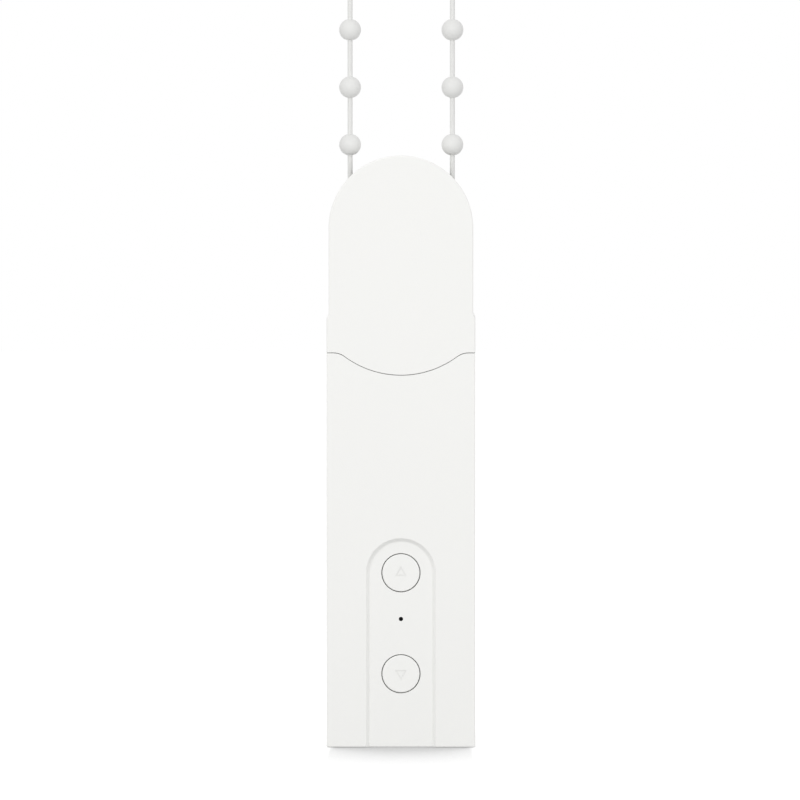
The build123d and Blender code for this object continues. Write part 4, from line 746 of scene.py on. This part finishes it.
looks = {
    "Base Color": tint(place, edge, colour, EPOXY_TAN),
    "Metallic": pads * (1 - edge),
    "Roughness": 0.28 + 0.12 * pads + 0.4 * edge,
    "Normal": relief(place, runs * 0.4 + pads + ink * 0.3, 0.00003),
}
place.feed(shader.inputs, looks)
dress(board_paint, "control_board")

# Radio module: a small board of its own, soldered flat onto the control board, under a
# stamped steel can. The end above the can carries the zigzag copper of its aerial.
CAN_TIN = (0.52, 0.52, 0.51)
CAN_TIN_SHADE = (0.42, 0.42, 0.41)
GOLD = (0.72, 0.52, 0.20)
MODULE_BOARD = 0.00052
MODULE_INK = (0.012, 0.03, 0.05)
AERIAL_STEP = 0.0012
AERIAL_LINE = 0.22
AERIAL_TOP = 0.0006
AERIAL_FOOT = 0.0026
AERIAL_TRACK = 0.0003
AERIAL_HALF = 0.0048
EDGE_PAD_STEP = 0.00127
EDGE_PAD_SHARE = 0.55
EDGE_PAD_REACH = 0.0007

radio_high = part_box("radio_module")[1]
radio_paint, shader, place = surface("radio_can")
x, z = axis(place, "X"), axis(place, "Z")
on_board = axis(place, "Y") > radio_high.y - MODULE_BOARD
down = radio_high.z - z
aerial_zone = between(down, AERIAL_TOP, AERIAL_FOOT) * on_board * (abs(x) < AERIAL_HALF)
phase = place.math("FRACT", x / AERIAL_STEP)
rises = (phase < AERIAL_LINE) + between(phase, 0.5, 0.5 + AERIAL_LINE)
high_joins = (down < AERIAL_TOP + AERIAL_TRACK) * (phase < 0.5 + AERIAL_LINE)
low_joins = (down > AERIAL_FOOT - AERIAL_TRACK) * (phase > 0.5)
aerial = aerial_zone * (rises | high_joins | low_joins)
pad_rows = place.math("FRACT", z / EDGE_PAD_STEP) < EDGE_PAD_SHARE
edge_pads = on_board * (abs(x) > radio_high.x - EDGE_PAD_REACH) * pad_rows
gold = aerial | edge_pads
can_metal = tint(place, grain(place, (0.0001, 0.001, 0.002)), CAN_TIN_SHADE, CAN_TIN)
module_face = tint(place, gold, MODULE_INK, GOLD)
looks = {
    "Base Color": tint(place, on_board, can_metal, module_face),
    "Metallic": (1 - on_board) | gold,
    "Roughness": 0.34 + 0.08 * grain(place, 0.002),
    "Normal": relief(place, gold + 0.1 * grain(place, 0.0012), 0.00003),
}
place.feed(shader.inputs, looks)
dress(radio_paint, "radio_module")

# Chips: black epoxy bodies on the board, the motor's driver the largest. A row of tinned
# feet shows along the lower edge of each side, and a moulded dimple marks the first pin.
EPOXY_BLACK = (0.030, 0.030, 0.032)
EPOXY_WORN = (0.048, 0.048, 0.050)
FOOT_STEP = 0.00065
FOOT_SHARE = 0.5
FOOT_HEIGHT = 0.00025
PIN_MARK_RADIUS = 0.0002
PIN_MARK_INSET = 0.0007

chip_paint, shader, place = surface("chip_epoxy")
y, z = axis(place, "Y"), axis(place, "Z")
feet = (y > board_low.y - FOOT_HEIGHT) * (place.math("FRACT", z / FOOT_STEP) < FOOT_SHARE)
pin_marks = 0
for low, high in separate_solids("board_chips"):
    corner = Vector((low.x + PIN_MARK_INSET, low.y, high.z - PIN_MARK_INSET))
    pin_marks = pin_marks + (reach(place, "XZ", corner) < PIN_MARK_RADIUS)
looks = {
    "Base Color": tint(place, feet, tint(place, grain(place, 0.0005), EPOXY_BLACK, EPOXY_WORN), PAD_TIN),
    "Metallic": feet,
    "Roughness": 0.55 - 0.2 * feet + 0.1 * grain(place, 0.0008),
    "Normal": relief(place, feet * 0.5 - pin_marks + 0.2 * grain(place, 0.00012), 0.00004),
}
place.feed(shader.inputs, looks)
dress(chip_paint, "board_chips")

# Switches: black square bodies with four rivet ends, each under a white plunger that the
# key pushes 0.4 mm.
SWITCH_BLACK = (0.028, 0.028, 0.029)
RIVET_INSET = 0.0008
RIVET_RADIUS = 0.00035
PLUNGER_WHITE = (0.80, 0.80, 0.78)
PLUNGER_SHADE = (0.76, 0.76, 0.74)

switch_paint, shader, place = surface("switch_body")
x, z = axis(place, "X"), axis(place, "Z")
rivets = 0
for node in ("up_switch", "down_switch"):
    low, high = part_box(node)
    half = (high.x - low.x) / 2 - RIVET_INSET
    off_x, off_z = abs(x) - half, abs(z - (low.z + high.z) / 2) - half
    rivets = rivets + (place.math("SQRT", off_x * off_x + off_z * off_z) < RIVET_RADIUS)
looks = {
    "Base Color": tint(place, rivets, SWITCH_BLACK, PAD_TIN),
    "Metallic": rivets,
    "Roughness": 0.5 - 0.15 * rivets + 0.1 * grain(place, 0.001),
    "Normal": relief(place, rivets + 0.1 * grain(place, 0.0002), 0.00005),
}
place.feed(shader.inputs, looks)
dress(switch_paint, "up_switch", "down_switch")
plunger_paint = moulded(
    "plunger_plastic", PLUNGER_WHITE, PLUNGER_SHADE,
    cloud_size=0.001, dullness=0.42, etching=0.0002, etching_depth=0.00001,
)
dress(plunger_paint, "up_plunger", "down_plunger")

# Status light: a small white package with a yellow phosphor disc, dark while the motor
# rests, and a smoked acrylic pipe that takes its light to the pinhole.
LAMP_WHITE = (0.80, 0.80, 0.78)
PHOSPHOR = (0.80, 0.62, 0.12)
PHOSPHOR_RADIUS = 0.00028
PHOSPHOR_SKIN = 0.00005
SMOKED = (0.003, 0.003, 0.004)
SMOKED_LIGHT = (0.007, 0.007, 0.009)

led_paint, shader, place = surface("lamp_package")
lit_face = axis(place, "Y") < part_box("status_led")[0].y + PHOSPHOR_SKIN
phosphor = (reach(place, "XZ", middle("status_led")) < PHOSPHOR_RADIUS) * lit_face
looks = {
    "Base Color": tint(place, phosphor, LAMP_WHITE, PHOSPHOR),
    "Roughness": 0.35 - 0.15 * phosphor + 0.1 * grain(place, 0.0006),
    "Coat Weight": phosphor,
}
place.feed(shader.inputs, looks)
dress(led_paint, "status_led")
pipe_paint, shader, place = surface("smoked_acrylic")
looks = {
    "Base Color": tint(place, grain(place, 0.0008, 1.0), SMOKED, SMOKED_LIGHT),
    "Roughness": 0.15 + 0.05 * grain(place, 0.0004),
    "Specular IOR Level": 0.05,
}
place.feed(shader.inputs, looks)
dress(pipe_paint, "light_pipe")

# Charging socket: a drawn steel shell with a black tongue inside, and twelve gold
# contacts in a row on the tongue. It is soldered to the board's foot and opens downward.
SHELL_LIGHT = (0.64, 0.64, 0.65)
SHELL_SHADE = (0.50, 0.50, 0.51)
TONGUE_BLACK = (0.024, 0.024, 0.025)
TONGUE_HALF = 0.00038
TONGUE_INSET = 0.0009
CONTACT_STEP = 0.0005
CONTACT_SHARE = 0.5
CONTACT_START = 0.0013
CONTACT_REACH = 0.0034
CONTACT_ROW_HALF = 0.003

socket_low, socket_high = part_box("usb_socket")
socket_paint, shader, place = surface("socket_shell")
x, y, z = axis(place, "X"), axis(place, "Y"), axis(place, "Z")
off_middle = abs(y - (socket_low.y + socket_high.y) / 2)
tongue = (off_middle < TONGUE_HALF) * (abs(x) < socket_high.x - TONGUE_INSET)
first_gold = socket_low.z + CONTACT_START
contact_row = between(z, first_gold, first_gold + CONTACT_REACH) * (abs(x) < CONTACT_ROW_HALF)
contacts = tongue * contact_row * (place.math("FRACT", x / CONTACT_STEP) < CONTACT_SHARE)
shell = tint(place, grain(place, (0.0012, 0.0012, 0.00015)), SHELL_SHADE, SHELL_LIGHT)
looks = {
    "Base Color": tint(place, tongue, shell, tint(place, contacts, TONGUE_BLACK, GOLD)),
    "Metallic": (1 - tongue) + contacts,
    "Roughness": 0.3 + 0.2 * tongue - 0.15 * contacts + 0.06 * grain(place, 0.001),
    "Normal": relief(place, contacts + 0.06 * grain(place, 0.0008), 0.00003),
}
place.feed(shader.inputs, looks)
dress(socket_paint, "usb_socket")

# Chain wheel and clip: a moulded wheel with eleven bead pockets, on the flats of the
# drive axle, held by a snap ring of blued spring steel.
SPRING_LIGHT = (0.50, 0.51, 0.53)
SPRING_SHADE = (0.36, 0.37, 0.39)

acetal_gear("wheel_acetal", "chain_wheel", middle("drive_axle"), greased=0.0)
spring_steel = bare_metal(
    "spring_steel", SPRING_LIGHT, SPRING_SHADE,
    dullness=0.3, marks=(0.0006, 0.002, 0.0006), mark_depth=0.000004,
)
dress(spring_steel, "axle_clip")

# The bead chain: a braided white cord, 1.05 mm thick, with 4.5 mm beads moulded onto it
# every 12 mm. It runs taut up to the blind's pulley, so its loop closes above the view. The
# line's two upper corners weigh a third of the rest, which makes its top a half circle.
CORD_WHITE = (0.86, 0.86, 0.845)
CORD_SHADE = (0.76, 0.76, 0.745)
BRAID_STEP = 0.00042
CORNER_WEIGHT = 1 / 3
BEAD_WHITE = (0.775, 0.775, 0.763)
BEAD_SHADE = (0.755, 0.755, 0.743)
BEAD_SIDES = 64
BEAD_RINGS = 40
HOLE_ROOM = 1.1
DIMPLE_DEPTH = 0.00003
DIMPLE_SPREAD = 0.16
MOULD_LINE = 0.00002

cord_paint, shader, place = surface("braided_cord")
across, along = axis(place, "X") + axis(place, "Y"), axis(place, "Z")
one_way = place.math("SINE", (along + across) * (2 * pi / BRAID_STEP))
other_way = place.math("SINE", (along - across) * (2 * pi / BRAID_STEP))
braid = one_way * other_way * 0.5 + 0.5
# The braid's troughs are painted darker: painted shade between the strands of the white cord.
looks = {
    "Base Color": tint(place, braid, CORD_SHADE, CORD_WHITE),
    "Roughness": 0.72 + 0.1 * braid,
    "Normal": relief(place, braid, 0.00004),
}
place.feed(shader.inputs, looks)

cord_low, cord_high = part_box("chain_outside")
cord_radius = (cord_high.y - cord_low.y) / 2
strand_x = cord_high.x - cord_radius
chain_y = (cord_low.y + cord_high.y) / 2
port_z = cord_low.z
loop_top = cord_high.z - cord_radius
loop_shoulder = loop_top - (1 + CORNER_WEIGHT) * strand_x
cord_route = [
    (-strand_x, chain_y, port_z, 1),
    (-strand_x, chain_y, loop_shoulder, 1),
    (-strand_x, chain_y, loop_top, CORNER_WEIGHT),
    (strand_x, chain_y, loop_top, CORNER_WEIGHT),
    (strand_x, chain_y, loop_shoulder, 1),
    (strand_x, chain_y, port_z, 1),
]
cord_curve = bpy.data.curves.new("cord_loop", "CURVE")
cord_curve.dimensions = "3D"
spline = cord_curve.splines.new("NURBS")
spline.points.add(len(cord_route) - 1)
for point, spot_and_weight in zip(spline.points, cord_route):
    point.co = spot_and_weight
spline.order_u = 3
spline.use_endpoint_u = True
spline.resolution_u = 24
cord_loop = bpy.data.objects.new("cord_loop", cord_curve)
bpy.context.scene.collection.objects.link(cord_loop)
bpy.context.view_layer.update()
line_mesh = bpy.data.meshes.new_from_object(cord_loop)
cord_line = [vertex.co.copy() for vertex in line_mesh.vertices]
cord_curve.bevel_depth = cord_radius
cord_curve.bevel_resolution = 6
cord_curve.materials.append(cord_paint)


def spot_along(line, distance):
    """The point this far along a line of points, and the line's direction there."""
    for start, end in zip(line, line[1:]):
        step = (end - start).length
        if distance <= step:
            return start.lerp(end, distance / step), (end - start).normalized()
        distance -= step
    return line[-1], (line[-1] - line[-2]).normalized()


bead_paint, shader, place = surface("bead_plastic")
mottle = grain(place, 0.0022)
looks = {
    "Base Color": tint(place, mottle, BEAD_SHADE, BEAD_WHITE),
    "Roughness": 0.42 + 0.08 * mottle,
    "Specular IOR Level": 0.4,
    "Normal": relief(place, grain(place, 0.00016), 0.000008),
}
place.feed(shader.inputs, looks)

bead_boxes = separate_solids("beads_inside")
bead_radius = (bead_boxes[0][1].y - bead_boxes[0][0].y) / 2
hole_angle = HOLE_ROOM * cord_radius / bead_radius
bead_profile = [(0, -bead_radius + 3 * DIMPLE_DEPTH)]
for k in range(BEAD_RINGS + 1):
    angle = hole_angle + (pi - 2 * hole_angle) * k / BEAD_RINGS
    nearest_hole = min(angle, pi - angle) - hole_angle
    out = bead_radius - DIMPLE_DEPTH * exp(-((nearest_hole / DIMPLE_SPREAD) ** 2))
    bead_profile.append((out * sin(angle), -out * cos(angle)))
bead_profile.append((0, bead_radius - 3 * DIMPLE_DEPTH))


def mould_line(turn, height):
    """The fine ridge where the two halves of the bead's mould met."""
    return -MOULD_LINE if abs(sin(turn)) > 0.01 else 0


def beads(name, places, node):
    """Beads threaded at places along the cord, each with the cord's direction there."""
    shape = bmesh.new()
    for spot, direction in places:
        stand = Matrix.Translation(spot) @ direction.to_track_quat("Z", "Y").to_matrix().to_4x4()
        turned(shape, bead_profile, stand, BEAD_SIDES, mould_line)
    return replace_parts(finished(shape, name, bead_paint, "motor_unit"), node)


wheel_centre = middle("chain_wheel")
inside_places = []
for low, high in bead_boxes:
    spot = (low + high) / 2
    arm = spot - wheel_centre
    round_the_wheel = Vector((-arm.z, 0, arm.x)).normalized()
    inside_places.append((spot, round_the_wheel if arm.z < 0 else upward))
beads("beads_in_the_head", inside_places, "beads_inside")

loop_span = sum((end - start).length for start, end in zip(cord_line, cord_line[1:]))
loop_boxes = separate_solids("beads_outside")
first_bead = min((low.z + high.z) / 2 for low, high in loop_boxes) - port_z
bead_step = (loop_span - 2 * first_bead) / (len(loop_boxes) - 1)
outside_places = [spot_along(cord_line, first_bead + k * bead_step) for k in range(len(loop_boxes))]
beads_outside = beads("beads_on_the_loop", outside_places, "beads_outside")

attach(cord_loop, "motor_unit")
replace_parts(cord_loop, "chain_outside")
dress(cord_paint, "chain_inside")

# Front housing and head cover: the two front pieces of the case, pressed into the rear
# shell and held by four screws and two clips. They meet in the curved seam.
dress(case_paint, "front_housing", "head_cover")

# Keys: two round caps in the case's white, a shade smoother. A small triangle is sunk into each,
# with a dull floor painted a little greyer, as painted shade in the sunk triangle.
KEY_WHITE = (0.887, 0.887, 0.868)
KEY_SHADE = (0.880, 0.880, 0.861)
SUNK_MARK_SHADE = (0.84, 0.84, 0.825)
MARK_SUNK = 0.0001
MARK_REACH = 0.0022

key_paint, shader, place = surface("key_plastic")
key_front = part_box("up_button")[0].y
near_mark = 0
for node in ("up_button", "down_button"):
    near_mark = near_mark + (reach(place, "XZ", middle(node)) < MARK_REACH)
# The sunk triangle's floor gets painted shade: a little greyer than the rest of the key.
mark = near_mark * between(axis(place, "Y"), key_front + MARK_SUNK, key_front + 2 * MARK_SUNK)
looks = {
    "Base Color": tint(place, mark, tint(place, grain(place, 0.004, 1.0), KEY_SHADE, KEY_WHITE), SUNK_MARK_SHADE),
    "Roughness": 0.42 + 0.2 * mark + 0.05 * grain(place, 0.004),
    "Specular IOR Level": 0.4,
    "Normal": relief(place, grain(place, 0.00022), 0.000008),
}
place.feed(shader.inputs, looks)
dress(key_paint, "up_button", "down_button")

low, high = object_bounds()
